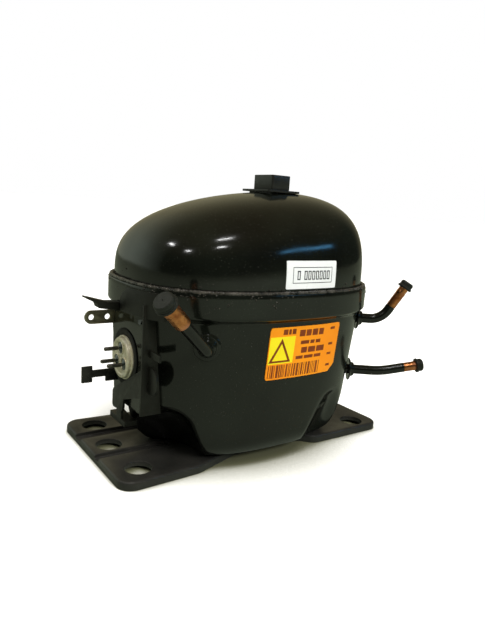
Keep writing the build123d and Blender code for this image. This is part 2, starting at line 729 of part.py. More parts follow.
def make_valve_plate():
    """Steel plate with the suction and discharge ports."""
    x0 = BARREL_END + GASKET
    x1 = x0 + VALVE_PLATE
    plate = with_bolt_holes(head_face(x0, x1), x0, x1)
    plate -= rod(2.8, (x0 - 1, 0, CYLINDER_Z + 5), (x1 + 1, 0, CYLINDER_Z + 5))
    return plate - rod(2.2, (x0 - 1, 0, CYLINDER_Z - 6), (x1 + 1, 0, CYLINDER_Z - 6))


def make_discharge_reed():
    """Leaf over the discharge port on the head side."""
    x0 = BARREL_END + GASKET + VALVE_PLATE + 0.1
    leaf = block(x0, x0 + 0.4, -2.2, 10.5, CYLINDER_Z - 8.2, CYLINDER_Z - 3.8)
    return leaf + rod(3.2, (x0, 0, CYLINDER_Z - 6), (x0 + 0.4, 0, CYLINDER_Z - 6))


def make_discharge_stop():
    """Stiff stop that limits how far the discharge reed opens."""
    x0 = BARREL_END + GASKET + VALVE_PLATE
    stop = block(x0 + 2.6, x0 + 4.2, -3.5, 13.0, CYLINDER_Z - 9, CYLINDER_Z - 3)
    foot = block(x0 + 0.05, x0 + 4.2, 11.2, 13.0, CYLINDER_Z - 9, CYLINDER_Z - 3)
    return stop + foot


def make_head_gasket():
    """Sheet between the valve plate and the head."""
    x0 = BARREL_END + GASKET + VALVE_PLATE
    x1 = x0 + GASKET
    sheet = with_bolt_holes(head_face(x0, x1), x0, x1)
    return sheet - block(x0 - 1, x1 + 1, -14, 14, CYLINDER_Z - 11, CYLINDER_Z + 11)


def make_cylinder_head():
    """Cast head with the discharge chamber and the suction chamber."""
    x0 = BARREL_END + 2 * GASKET + VALVE_PLATE
    x1 = x0 + HEAD_THICKNESS
    head = head_face(x0, x1)
    head -= block(x0 - 1, x0 + 7, -13.5, 13.5, CYLINDER_Z - 10.5, CYLINDER_Z + 0.5)
    head -= block(x0 - 1, x0 + 7, -13.5, 13.5, CYLINDER_Z + 2.5, CYLINDER_Z + 10.5)
    return with_bolt_holes(head, x0, x1)


def make_head_bolts():
    """Four bolts that hold the head, the valve plate and the gaskets to the barrel."""
    x0 = BARREL_END + 2 * GASKET + VALVE_PLATE + HEAD_THICKNESS
    bolts = []
    for y, z in head_bolt_spots():
        bolt = rod(2.0, (BARREL_END - 8, y, z), (x0 + 1, y, z)) + rod(3.6, (x0, y, z), (x0 + 2, y, z))
        bolts.append(bolt.solid())
    return Compound(children=bolts)


# ---------------------------------------------------------------- gas path and wiring
MUFFLER_WALL = 1.5
MUFFLER_X = (20.0, 42.0)
MUFFLER_Y = (24.0, 42.0)
MUFFLER_Z = (102.0, 118.0, 132.0)


def make_suction_muffler(upper):
    """One half of the plastic suction muffler."""
    z0, z1 = (MUFFLER_Z[1], MUFFLER_Z[2]) if upper else (MUFFLER_Z[0], MUFFLER_Z[1] - 0.1)
    shell = block(*MUFFLER_X, *MUFFLER_Y, z0, z1)
    shell = fillet(shell.edges().filter_by(Axis.Z), 4.0)
    low = z0 - 1 if upper else z0 + MUFFLER_WALL
    high = z1 - MUFFLER_WALL if upper else z1 + 1
    x0, x1 = MUFFLER_X[0] + MUFFLER_WALL, MUFFLER_X[1] - MUFFLER_WALL
    y0, y1 = MUFFLER_Y[0] + MUFFLER_WALL, MUFFLER_Y[1] - MUFFLER_WALL
    shell -= block(x0, x1, y0, y1, low, high)
    if upper:
        shell += ring(4.0, 2.6, (MUFFLER_X[1] - 1.0, 28.5, 126.0), (BARREL_END - 7.5, 28.5, 126.0))
    return shell


def make_discharge_muffler():
    """Steel pot on the block that smooths the discharge pulses."""
    x, y = 34.0, -29.0
    pot = rod(9.5, (x, y, 101.0), (x, y, 120.0))
    pot = fillet(pot.edges(), 2.0)
    return pot - rod(7.9, (x, y, 103.0), (x, y, 118.0))


def make_shock_loop():
    """Springy discharge line from the muffler to the shell's discharge stub."""
    start = (34.0, -40.3, 110.0)
    end = along(TUBES["discharge"]["root"], SIDE_NORMAL, -11.0)
    points = [start, (34.0, -47.5, 104.0), (14.0, -49.0, 92.0), (34.0, -49.0, 80.0), (56.0, -40.0, 62.0)]
    points.append(end)
    path = tube_path(points, [3.0, 7.0, 7.0, 9.0])
    return swept_tube(path, 1.6, 1.0)


def make_terminal_plug():
    """Plug that sits on the inner ends of the three pins."""
    plug = rod(TERM_RADIUS - 2.5, on_axis(-77.5), on_axis(-67.0))
    for y, z in pin_spots():
        plug -= rod(PIN_NECK_RADIUS + 0.05, (-80, y, z), (-69.5, y, z))
    return plug


def make_lead_wires():
    """Three short leads from the plug to the winding's upper head."""
    wires = []
    for step in (-1, 0, 1):
        y = TERM_Y + 4 * step
        points = [(-66.8, y, TERM_Z + 2), (-60.0, y, TERM_Z + 2), (-56.0, y, 86.0), (-41.5, y, 86.0)]
        path = tube_path(points, [3.0, 6.0])
        plane = Plane(origin=path @ 0, z_dir=path % 0)
        wires.append(sweep(plane * Circle(1.1), path=path).solid())
    return Compound(children=wires)


# ---------------------------------------------------------------- all nodes
def build_nodes():
    """Every separate piece under its node name."""
    races = make_thrust_races()
    nodes = {
        "base_plate": make_base_plate(),
        "lower_shell": make_lower_shell(),
        "upper_shell": make_upper_shell(),
        "seam_weld": make_seam_weld(),
        "top_clip_plate": make_top_clip(),
        "top_clip_catch": make_top_clip_block(),
        "rating_label": make_rating_label(),
        "serial_label": make_serial_label(),
        "tube_collars": make_tube_collars(),
        "terminal_body": make_terminal_body(),
        "terminal_seals": make_terminal_seals(),
        "terminal_pins": make_terminal_pins(),
        "terminal_bracket": make_terminal_bracket(),
        "ground_lug": make_ground_lug(),
        "retainer_spring": make_retainer_spring(),
        "relay_hook": make_relay_hook(),
        "spring_studs": make_spring_studs(),
        "suspension_springs": make_suspension_springs(),
        "spring_holders": make_spring_holders(),
        "stator_core": make_stator_core(),
        "stator_windings": make_stator_windings(),
        "stator_bolts": make_stator_bolts(),
        "rotor_core": make_rotor_core(),
        "rotor_cage": make_rotor_cage(),
        "crankshaft": make_crankshaft(),
        "oil_pickup": make_oil_pickup(),
        "crank_pin": make_crank_pin(),
        "connecting_rod": make_connecting_rod(),
        "wrist_pin": make_wrist_pin(),
        "piston": make_piston(),
        "cylinder_block": make_cylinder_block(),
        "thrust_race_lower": races[0],
        "thrust_race_upper": races[1],
        "thrust_balls": make_thrust_balls(),
        "thrust_cage": make_thrust_cage(),
        "cylinder_gasket": make_cylinder_gasket(),
        "suction_reed": make_suction_reed(),
        "valve_plate": make_valve_plate(),
        "discharge_reed": make_discharge_reed(),
        "discharge_stop": make_discharge_stop(),
        "head_gasket": make_head_gasket(),
        "cylinder_head": make_cylinder_head(),
        "head_bolts": make_head_bolts(),
        "suction_muffler_lower": make_suction_muffler(False),
        "suction_muffler_upper": make_suction_muffler(True),
        "discharge_muffler": make_discharge_muffler(),
        "shock_loop": make_shock_loop(),
        "terminal_plug": make_terminal_plug(),
        "lead_wires": make_lead_wires(),
    }
    for name in TUBES:
        nodes[name + "_tube"] = make_tube(name)
        nodes[name + "_copper"] = make_copper_end(name)
        nodes[name + "_cap"] = make_cap(name)
    return nodes


os.makedirs("parts", exist_ok=True)
for node, shape in build_nodes().items():
    export_step(shape, f"parts/{node}.step")
    print(node, round(shape.volume, 1))
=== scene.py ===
"""Looks of the hermetic reciprocating compressor.

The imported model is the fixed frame.  This script adds finer meshes for the pieces that show,
procedural materials for every piece, a pale floor, soft studio light and the camera.
Shapes are worked out in millimetres in the row frame and turned into metres when a mesh is made.
"""
import math
import random

import bmesh
import bpy
import numpy as np
from mathutils import Matrix, Vector, noise


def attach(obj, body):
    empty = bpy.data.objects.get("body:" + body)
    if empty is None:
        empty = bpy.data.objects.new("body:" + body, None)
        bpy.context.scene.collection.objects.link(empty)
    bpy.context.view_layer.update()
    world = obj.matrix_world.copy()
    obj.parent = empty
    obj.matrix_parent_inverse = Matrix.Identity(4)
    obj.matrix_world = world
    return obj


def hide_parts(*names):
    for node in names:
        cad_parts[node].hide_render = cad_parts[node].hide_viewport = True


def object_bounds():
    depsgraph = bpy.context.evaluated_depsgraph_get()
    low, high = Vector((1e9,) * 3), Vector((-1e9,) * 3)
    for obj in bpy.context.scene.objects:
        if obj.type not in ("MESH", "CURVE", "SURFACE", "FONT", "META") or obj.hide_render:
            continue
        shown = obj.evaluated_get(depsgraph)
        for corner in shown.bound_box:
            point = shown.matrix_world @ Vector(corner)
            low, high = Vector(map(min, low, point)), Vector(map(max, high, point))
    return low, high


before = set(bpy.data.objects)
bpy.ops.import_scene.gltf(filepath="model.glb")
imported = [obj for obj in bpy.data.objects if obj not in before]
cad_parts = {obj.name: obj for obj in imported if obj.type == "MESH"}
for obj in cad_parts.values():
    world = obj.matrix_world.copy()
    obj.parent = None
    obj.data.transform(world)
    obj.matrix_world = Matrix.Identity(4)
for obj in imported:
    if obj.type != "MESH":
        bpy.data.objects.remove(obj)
cad_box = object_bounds()

MM = 0.001
DICE = random.Random(7)

# ---------------------------------------------------------------- driving dimensions (mm)
SHELL_X = 2.0
ROUNDNESS = 2.6
CROWN_ROUNDNESS = 2.0
SHELL_A = 82.4
SHELL_B = 63.4
WALL = 3.0
FLOOR_Z = 3.0
FLOOR_RADIUS = 14.0
DRAFT = 0.085
RIM_BOTTOM = 88.5
RIM_TOP = 105.5
RIM_PROUD = 3.5
FLARE = 3.5
DOME_SPRING_Z = 108.0
DOME_HEIGHT = 56.0
DOME_LEAN = 31.0
COLUMNS = 360

# recesses pressed into the bowl over the feet, each mirrored in Y: middle, radius low and high, top
RECESSES = ((-85.0, 35.0, 40.5, 26.5, 34.5), (85.0, 35.0, 28.5, 26.5, 28.5), (52.0, 84.0, 44.5, 30.0, 42.0))
RECESS_ROUNDING = 8.0
RECESS_BLEND = 3.0
RECESS_ZONE_TOP = 57.0

# rays leave the axis at this height and meet the bowl between these shares of the way to its plain wall
RAY_CENTRE_Z = 60.0
RAY_NEAR = 0.2
RAY_FAR = 1.25
RAY_HALVINGS = 34

WELD_LENGTH = 470.0
WELD_AROUND = 1500
WELD_ACROSS = 14
WELD_RADIUS = 1.22
WELD_OUTSET = 1.75
WELD_RISE = 0.55
SPATTER_DROPS = 170

TERM_Y = -1.0
TERM_Z = 59.0
PAD_X = -80.0
PAD_OUTLINE = ((22.0, 84.5), (16.0, 29.0), (-27.0, 29.0), (-27.0, 84.5))
PAD_CORNER = 5.0
PAD_ROOT_X = -60.0
PAD_BLEND = 1.5
BEAD_RADIUS = 3.6
PIN_CIRCLE = 6.0
PIN_RADIUS = 1.2
PIN_NECK_RADIUS = 0.9
PIN_TIP_X = -93.5

TUBE_RADIUS = 3.3
TUBE_WALL = 0.8
COPPER_RADIUS = 3.2
PROCESS_COPPER_RADIUS = 4.4
CAP_GRIP = 3.2
CAP_WALL = 1.3

SHARP_EDGE = math.radians(38)
BEVEL_EDGE = math.radians(35)
BEVEL_SEGMENTS = 3
# CAD nodes that show with rounded edges: node, piece, finish, width of the rounding and slot
SOFTENED_NODES = (
    ("base_plate", "mounting_plate", "plate", 0.9, "black_plate"),
    ("terminal_bracket", "terminal_fence", "bracket", 0.45, "black_plate"),
    ("ground_lug", "earthing_lug", "lug", 0.4, "plain_steel"),
    ("retainer_spring", "cover_spring", "bracket", 0.35, "spring_steel"),
    ("relay_hook", "starter_hook", "dark_clip", 0.5, "clip_plastic"),
    ("top_clip_plate", "crown_strap", "dark_clip", 0.35, "clip_plastic"),
    ("top_clip_catch", "crown_catch", "dark_clip", 0.5, "clip_plastic"),
)


# ---------------------------------------------------------------- mesh helpers
def make_piece(name, shape, material, body="shell", slot=None, replaces=()):
    """A smooth mesh piece from (points in millimetres, faces), riding on a body."""
    points, faces = shape
    mesh = bpy.data.meshes.new(name)
    mesh.from_pydata([(x * MM, y * MM, z * MM) for x, y, z in points], [], faces)
    mesh.validate()
    place_piece(name, mesh, material, body, slot, replaces)


def place_piece(name, mesh, material, body, slot, replaces):
    """Puts a finished mesh, in metres, into the scene as a piece of the object."""
    work = bmesh.new()
    work.from_mesh(mesh)
    bmesh.ops.recalc_face_normals(work, faces=work.faces)
    work.to_mesh(mesh)
    work.free()
    while mesh.materials:
        mesh.materials.pop()
    mesh.materials.append(material)
    mesh.shade_smooth()
    mesh.set_sharp_from_angle(angle=SHARP_EDGE)
    piece = bpy.data.objects.new(name, mesh)
    bpy.context.scene.collection.objects.link(piece)
    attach(piece, body)
    if replaces:
        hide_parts(*replaces)


def grid_faces(rows, columns, closed_rows=False, first=0):
    """Quads of a grid whose columns close on themselves."""
    faces = []
    for row in range(rows if closed_rows else rows - 1):
        above = (row + 1) % rows
        for column in range(columns):
            right = (column + 1) % columns
            faces.append((first + row * columns + column, first + row * columns + right,
                          first + above * columns + right, first + above * columns + column))
    return faces


def rounded(points, radius, steps=4, closed=False):
    """A polyline whose corners are arcs of up to the given radius."""
    count = len(points)
    result = []
    for index, point in enumerate(points):
        if not closed and index in (0, count - 1):
            result.append(tuple(point))
            continue
        corner = Vector(point)
        to_last = Vector(points[index - 1]) - corner
        to_next = Vector(points[(index + 1) % count]) - corner
        half = to_last.angle(to_next) / 2
        reach = min(radius / max(math.tan(half), 1e-6), 0.45 * to_last.length, 0.45 * to_next.length)
        start = corner + to_last.normalized() * reach
        end = corner + to_next.normalized() * reach
        for step in range(steps + 1):
            t = step / steps
            result.append(tuple(start * (1 - t) ** 2 + corner * 2 * t * (1 - t) + end * t ** 2))
    return result


def frame_axes(direction):
    """Two unit vectors square to a direction."""
    direction = Vector(direction).normalized()
    side = Vector((0, 0, 1)).cross(direction)
    if side.length < 0.1:
        side = Vector((0, 1, 0)).cross(direction)
    side.normalize()
    return side, direction.cross(side)


def lathe_mesh(profile, origin, direction, segments=72):
    """Points and faces of a closed profile of (radius, distance) turned about an axis."""
    side, up = frame_axes(direction)
    origin, direction = Vector(origin), Vector(direction).normalized()
    points = []
    for radius, distance in profile:
        for step in range(segments):
            angle = 2 * math.pi * step / segments
            spoke = side * math.cos(angle) + up * math.sin(angle)
            points.append(tuple(origin + direction * distance + spoke * radius))
    return points, grid_faces(len(profile), segments, closed_rows=True)


def solid_lathe_mesh(profile, origin, direction, segments=72):
    """As lathe_mesh, for an open profile whose first and last rings are capped."""
    points, _ = lathe_mesh(profile, origin, direction, segments)
    faces = grid_faces(len(profile), segments)
    faces.append(tuple(range(segments)))
    faces.append(tuple(range(len(points) - segments, len(points))))
    return points, faces


def joined(parts):
    """Several (points, faces) meshes as one."""
    all_points, all_faces = [], []
    for points, faces in parts:
        first = len(all_points)
        all_points += points
        all_faces += [tuple(first + index for index in face) for face in faces]
    return all_points, all_faces


def softened(node, name, material, width, slot):
    """A CAD node's shape with its edges rounded, as pressed and painted metal has them."""
    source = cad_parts[node]
    mesh = source.data.copy()
    helper = bpy.data.objects.new(name + "_work", mesh)
    bpy.context.scene.collection.objects.link(helper)
    work = bmesh.new()
    work.from_mesh(mesh)
    bmesh.ops.remove_doubles(work, verts=work.verts, dist=1e-6)
    bmesh.ops.dissolve_limit(work, angle_limit=math.radians(2), verts=work.verts, edges=work.edges)
    work.to_mesh(mesh)
    work.free()
    bevel = helper.modifiers.new("round", "BEVEL")
    bevel.width = width * MM
    bevel.segments = BEVEL_SEGMENTS
    bevel.limit_method = "ANGLE"
    bevel.angle_limit = BEVEL_EDGE
    bpy.context.view_layer.update()
    rounded_helper = helper.evaluated_get(bpy.context.evaluated_depsgraph_get())
    result = bpy.data.meshes.new_from_object(rounded_helper)
    bpy.data.objects.remove(helper)
    place_piece(name, result, material, "shell", slot, (node,))


# ---------------------------------------------------------------- shell sections
def even_angles(count):
    """Polar angles that space points evenly round the shell's section."""
    dense = np.linspace(0, 2 * np.pi, 7201)
    radius = section_radius(dense, SHELL_A, SHELL_B, ROUNDNESS)
    x, y = radius * np.cos(dense), radius * np.sin(dense)
    length = np.concatenate(([0], np.cumsum(np.hypot(np.diff(x), np.diff(y)))))
    return np.interp(np.arange(count) / count * length[-1], length, dense)


def section_radius(angle, a, b, power):
    """Polar radius of a superellipse."""
    return ((np.abs(np.cos(angle)) / a) ** power + (np.abs(np.sin(angle)) / b) ** power) ** (-1 / power)


ANGLES = even_angles(COLUMNS)


def bowl_inset(z):
    """How far the bowl's wall stands in from the rim, at a height."""
    drop = np.clip((FLOOR_Z + FLOOR_RADIUS - z) / FLOOR_RADIUS, 0, 1)
    return DRAFT * (RIM_BOTTOM - z) + FLOOR_RADIUS * (1 - np.sqrt(1 - drop ** 2))


def rim_outset(z):
    """How far the flared rim stands out, at a height."""
    t = np.clip((z - RIM_BOTTOM + 0.6) / (FLARE + 0.6), 0, 1)
    return RIM_PROUD * t * t * (3 - 2 * t)


def smooth_max(a, b, blend):
    """The larger of two fields, with a round crease where they are nearly equal."""
    mix = np.clip(0.5 + 0.5 * (a - b) / blend, 0, 1)
    return b + (a - b) * mix + blend * mix * (1 - mix)


def seat_outline(y, z):
    """Negative inside the four-sided outline of the terminal seat, whose corners are rounded."""
    sides = []
    for (y0, z0), (y1, z1) in zip(PAD_OUTLINE, PAD_OUTLINE[1:] + PAD_OUTLINE[:1]):
        length = math.hypot(y1 - y0, z1 - z0)
        sides.append(((y - y0) * (z0 - z1) + (z - z0) * (y1 - y0)) / length)
    field = sides[0]
    for side in sides[1:]:
        field = smooth_max(field, side, PAD_CORNER)
    return field


def recess_field(points, recess, side):
    """Negative inside one tapering recess with a rounded top."""
    x, y, low, high, top = recess
    z = points[..., 2]
    radius = low + (high - low) * (z - FLOOR_Z) / (top - FLOOR_Z)
    across = np.hypot(points[..., 0] - x, points[..., 1] - side * y) - radius + RECESS_ROUNDING
    above = z - top + RECESS_ROUNDING
    beyond = np.hypot(np.maximum(across, 0), np.maximum(above, 0))
    return beyond + np.minimum(np.maximum(across, above), 0) - RECESS_ROUNDING


def bowl_field(points, wall):
    """Negative inside the lower bowl; wall is how far the surface is moved inwards."""
    x, y, z = points[..., 0] - SHELL_X, points[..., 1], points[..., 2]
    angle = np.arctan2(y, x)
    inset = np.where(z < RIM_BOTTOM, bowl_inset(np.minimum(z, RIM_BOTTOM)), 0) + wall - rim_outset(z)
    field = np.hypot(x, y) - section_radius(angle, SHELL_A - inset, SHELL_B - inset, ROUNDNESS)
    field = np.maximum(field, FLOOR_Z + wall - z)
    for recess in RECESSES:
        for side in (-1, 1):
            field = smooth_max(field, -recess_field(points, recess, side) + wall, RECESS_BLEND)
    outline = seat_outline(points[..., 1], points[..., 2]) + wall
    pad = smooth_max(outline, PAD_X + wall - points[..., 0], PAD_BLEND)
    pad = np.maximum(pad, points[..., 0] - PAD_ROOT_X)
    return -smooth_max(-field, -pad, PAD_BLEND)


def bowl_rows():
    """Heights and section scales of the bowl's rows, from the middle of its floor to its rim."""
    rows = [(FLOOR_Z, share) for share in np.linspace(0.08, 0.96, 12)]
    rows += [(FLOOR_Z + FLOOR_RADIUS * (1 - math.cos(a)), 1.0) for a in np.linspace(0, math.pi / 2, 34)[:-1]]
    rows += [(z, 1.0) for z in np.linspace(FLOOR_Z + FLOOR_RADIUS, RECESS_ZONE_TOP, 44)[:-1]]
    rows += [(z, 1.0) for z in np.linspace(RECESS_ZONE_TOP, RIM_BOTTOM - 1.5, 16)]
    rows += [(z, 1.0) for z in np.linspace(RIM_BOTTOM - 0.9, RIM_BOTTOM + FLARE + 0.6, 11)]
    rows += [(z, 1.0) for z in np.linspace(RIM_BOTTOM + FLARE + 2, RIM_TOP - 0.8, 6)]
    return rows


def bowl_surface(rows, wall):
    """Each row's points, moved along rays from inside the bowl onto its surface."""
    centre = np.array([SHELL_X, 0.0, RAY_CENTRE_Z])
    z = np.array([row[0] for row in rows])[:, None]
    share = np.array([row[1] for row in rows])[:, None]
    inset = bowl_inset(np.minimum(z, RIM_BOTTOM)) - rim_outset(z) + wall
    radius = section_radius(ANGLES[None, :], SHELL_A - inset, SHELL_B - inset, ROUNDNESS) * share
    target = np.stack([SHELL_X + radius * np.cos(ANGLES), radius * np.sin(ANGLES),
                       np.broadcast_to(np.maximum(z, FLOOR_Z + wall), radius.shape)], axis=-1)
    near, far = np.full(radius.shape, RAY_NEAR), np.full(radius.shape, RAY_FAR)
    for _ in range(RAY_HALVINGS):
        middle = (near + far) / 2
        inside = bowl_field(centre + (target - centre) * middle[..., None], wall) < 0
        near, far = np.where(inside, middle, near), np.where(inside, far, middle)
    return centre + (target - centre) * near[..., None]


def section_loop(outset, z):
    """One closed horizontal section of the shell, grown by outset."""
    radius = section_radius(ANGLES, SHELL_A + outset, SHELL_B + outset, ROUNDNESS)
    x = SHELL_X + radius * np.cos(ANGLES)
    return np.stack([x, radius * np.sin(ANGLES), np.full(COLUMNS, z)], axis=-1)


def make_lower_bowl(material):
    """The pressed bowl with its recesses, terminal seat, flared rim and inner face."""
    outer = list(bowl_surface(bowl_rows(), 0.0))
    ledge = RIM_BOTTOM + FLARE
    lip = [(RIM_PROUD - 0.2, RIM_TOP - 0.25), (RIM_PROUD - 0.7, RIM_TOP), (0.5, RIM_TOP),
           (0.15, RIM_TOP - 0.3), (0.15, ledge), (-WALL + 0.3, ledge), (-WALL, ledge - 0.4)]
    loops = outer + [section_loop(outset, z) for outset, z in lip]
    loops += list(bowl_surface(bowl_rows()[:-17:2], WALL))[::-1]
    points = [tuple(p) for loop in loops for p in loop]
    faces = grid_faces(len(loops), COLUMNS)
    faces.append(tuple(range(COLUMNS)))
    faces.append(tuple(range(len(points) - COLUMNS, len(points))))
    make_piece("lower_shell_skin", (points, faces), material, "shell", "black_enamel", ("lower_shell",))


def dome_rows(outset, steps):
    """Rows of the dome from its spring line to just short of its crown."""
    return [dome_loop(outset, 1 - (1 - u) ** 2) for u in np.linspace(0, 1, steps + 1)[:-1]]


def dome_loop(outset, t):
    """The dome's horizontal section at a fraction t of its height."""
    size = math.sqrt(1 - t ** 3)
    power = ROUNDNESS + (CROWN_ROUNDNESS - ROUNDNESS) * t * t
    radius = section_radius(ANGLES, (SHELL_A + outset) * size, (SHELL_B + outset) * size, power)
    x = SHELL_X + DOME_LEAN * t ** 2.8 + radius * np.cos(ANGLES)
    z = DOME_SPRING_Z + (DOME_HEIGHT + outset) * t
    return np.stack([x, radius * np.sin(ANGLES), np.full(COLUMNS, z)], axis=-1)


def make_dome(material):
    """The drawn upper dome with its inner face."""
    skirt = [section_loop(0.0, z) for z in (RIM_BOTTOM + FLARE + 0.2, 98.0, 103.0, 106.0)]
    inner_skirt = [section_loop(-WALL, z) for z in (105.0, 98.0, RIM_BOTTOM + FLARE + 0.2)]
    outer = skirt + dome_rows(0.0, 90)
    inner = dome_rows(-WALL, 45)[::-1] + inner_skirt
    crown = (SHELL_X + DOME_LEAN, 0.0, DOME_SPRING_Z + DOME_HEIGHT)
    inner_crown = (SHELL_X + DOME_LEAN, 0.0, DOME_SPRING_Z + DOME_HEIGHT - WALL)
    points = [tuple(p) for loop in outer + inner for p in loop]
    faces = grid_faces(len(outer), COLUMNS)
    faces += grid_faces(len(inner), COLUMNS, first=len(outer) * COLUMNS)
    top, under = (len(outer) - 1) * COLUMNS, len(outer) * COLUMNS
    last = (len(outer) + len(inner) - 1) * COLUMNS
    pole, inner_pole = len(points), len(points) + 1
    points += [crown, inner_crown]
    for column in range(COLUMNS):
        right = (column + 1) % COLUMNS
        faces.append((top + column, top + right, pole))
        faces.append((under + right, under + column, inner_pole))
        faces.append((last + column, last + right, right, column))
    make_piece("upper_shell_skin", (points, faces), material, "shell", "black_enamel", ("upper_shell",))


def make_weld(material):
    """The weld bead: a lumpy, rippled rope laid round the rim."""
    points = []
    for index, angle in enumerate(even_angles(WELD_AROUND)):
        travel = index / WELD_AROUND * WELD_LENGTH
        swell = 0.55 * noise.noise((travel * 0.16, 3.1, 0.0)) + 0.22 * noise.noise((travel * 0.55, 8.0, 0.0))
        ripple = 0.10 * math.sin(travel * 2.9 + 2.5 * noise.noise((travel * 0.1, 0.0, 5.0)))
        for step in range(WELD_ACROSS):
            turn = 2 * math.pi * step / WELD_ACROSS
            rough = 0.20 * noise.noise((travel * 0.9, math.cos(turn) * 2, math.sin(turn) * 2))
            radius = WELD_RADIUS + 0.45 * swell + ripple + rough
            outset = WELD_OUTSET + 0.35 * swell + radius * math.cos(turn)
            z = RIM_TOP + WELD_RISE + 0.9 * radius * math.sin(turn)
            reach = section_radius(angle, SHELL_A + outset, SHELL_B + outset, ROUNDNESS)
            points.append((SHELL_X + reach * math.cos(angle), reach * math.sin(angle), z))
    faces = grid_faces(WELD_AROUND, WELD_ACROSS, closed_rows=True)
    make_piece("seam_weld_bead", (points, faces), material, "shell", "weld_bead", ("seam_weld",))


def make_spatter(material):
    """Small weld drops on the rim band and the foot of the dome."""
    parts = []
    for _ in range(SPATTER_DROPS):
        angle = DICE.uniform(0, 2 * math.pi) if DICE.random() < 0.5 else math.radians(DICE.uniform(205, 262))
        z = DICE.gauss(RIM_TOP - 1.0, 3.2)
        if not RIM_BOTTOM + FLARE + 1 < z < RIM_TOP + 7:
            continue
        size = DICE.uniform(0.18, 0.62)
        outset = RIM_PROUD if z < RIM_TOP else 0.1
        reach = section_radius(angle, SHELL_A + outset, SHELL_B + outset, ROUNDNESS)
        centre = (SHELL_X + reach * math.cos(angle), reach * math.sin(angle), z)
        parts.append(drop_mesh(centre, size))
    shape = joined(parts)
    make_piece("weld_spatter", shape, material, "shell", "weld_bead")


def drop_mesh(centre, size):
    """A slightly uneven frozen drop."""
    work = bmesh.new()
    bmesh.ops.create_icosphere(work, subdivisions=2, radius=size)
    squeeze = (DICE.uniform(0.7, 1.2), DICE.uniform(0.7, 1.2), DICE.uniform(0.6, 1.1))
    points = [tuple(c + v * s for c, v, s in zip(centre, vert.co, squeeze)) for vert in work.verts]
    faces = [tuple(vert.index for vert in face.verts) for face in work.faces]
    work.free()
    return points, faces


# ---------------------------------------------------------------- tubes
def unit(vector):
    """A direction's unit vector."""
    return tuple(Vector(vector).normalized())


SIDE_NORMAL = unit((0.8166, -0.577, 0.0))
# each tube leaves its root square to the shell, runs straight, bends once and stops at its end
TUBES = {
    "process": {"root": (-53.6, -51.4, 75.3), "normal": unit((-0.48, -0.88, 0.0)), "run": 14.0, "bend": 8.0,
                "end": (-93.9, -76.2, 106.6), "copper": 19.0, "outer": PROCESS_COPPER_RADIUS},
    "suction": {"root": (74.6, -37.8, 82.0), "normal": SIDE_NORMAL, "run": 18.5, "bend": 14.0,
                "end": (102.0, -57.2, 107.5), "copper": 18.6, "outer": COPPER_RADIUS},
    "discharge": {"root": (73.0, -36.6, 44.6), "normal": SIDE_NORMAL, "run": 24.0, "bend": 60.0,
                  "end": (116.4, -65.4, 50.6), "copper": 12.0, "outer": COPPER_RADIUS},
}


def along(point, direction, distance):
    """The point at a distance from another along a direction."""
    return tuple(p + distance * d for p, d in zip(point, direction))


def tube_end(spec):
    """A tube's open end and the unit direction that it points in."""
    elbow = Vector(along(spec["root"], spec["normal"], spec["run"]))
    return spec["end"], unit(Vector(spec["end"]) - elbow)


def bent_line(start, elbow, stop, bend, steps=24):
    """A straight run, a tangent arc and another straight run."""
    start, elbow, stop = Vector(start), Vector(elbow), Vector(stop)
    to_start, to_stop = (start - elbow).normalized(), (stop - elbow).normalized()
    half = to_start.angle(to_stop) / 2
    reach = bend / math.tan(half)
    middle = elbow + (to_start + to_stop).normalized() * (bend / math.sin(half))
    first, last = elbow + to_start * reach - middle, elbow + to_stop * reach - middle
    sweep_angle = first.angle(last)
    axis = first.cross(last).normalized()
    arc = [middle + Matrix.Rotation(sweep_angle * step / steps, 3, axis) @ first for step in range(steps + 1)]
    return [start] + arc + [stop]


def pipe_mesh(line, outer, inner, segments=48):
    """A hollow pipe along a line, with its ends closed by rings."""
    loops = []
    side = None
    for index, point in enumerate(line):
        before = line[max(index - 1, 0)]
        after = line[min(index + 1, len(line) - 1)]
        direction = (after - before).normalized()
        if side is None:
            side = frame_axes(direction)[0]
        side = (side - direction * side.dot(direction)).normalized()
        loops.append((point, side.copy(), direction.cross(side)))
    points = []
    for radius, ordered in ((outer, loops), (inner, loops[::-1])):
        for centre, side, up in ordered:
            for step in range(segments):
                angle = 2 * math.pi * step / segments
                points.append(tuple(centre + (side * math.cos(angle) + up * math.sin(angle)) * radius))
    return points, grid_faces(2 * len(loops), segments, closed_rows=True)


def make_tubes(enamel, copper, rubber):
    """The three stubs, their copper ends and their rubber caps."""
    for name, spec in TUBES.items():
        end, direction = tube_end(spec)
        elbow = along(spec["root"], spec["normal"], spec["run"])
        stop = along(end, direction, -spec["copper"])
        line = bent_line(along(spec["root"], spec["normal"], -9.0), elbow, stop, spec["bend"])
        shape = pipe_mesh(line, TUBE_RADIUS, TUBE_RADIUS - TUBE_WALL)
        make_piece(name + "_stub", shape, enamel, "shell", "black_enamel", (name + "_tube",))
        outer, inner = spec["outer"], spec["outer"] - TUBE_WALL
        length = spec["copper"]
        profile = [(inner, 0), (outer - 0.25, 0), (outer, 0.5), (outer, 0.55 * length),
                   (outer + 0.12, 0.6 * length), (outer + 0.1, 0.66 * length), (outer, 0.72 * length),
                   (outer, length - 0.3), (outer - 0.3, length), (inner, length)]
        shape = lathe_mesh(rounded(profile, 0.4, 3, closed=True), stop, direction)
        make_piece(name + "_copper_end", shape, copper, "shell", "copper", (name + "_copper",))
        make_cap(name, outer, end, direction, rubber)


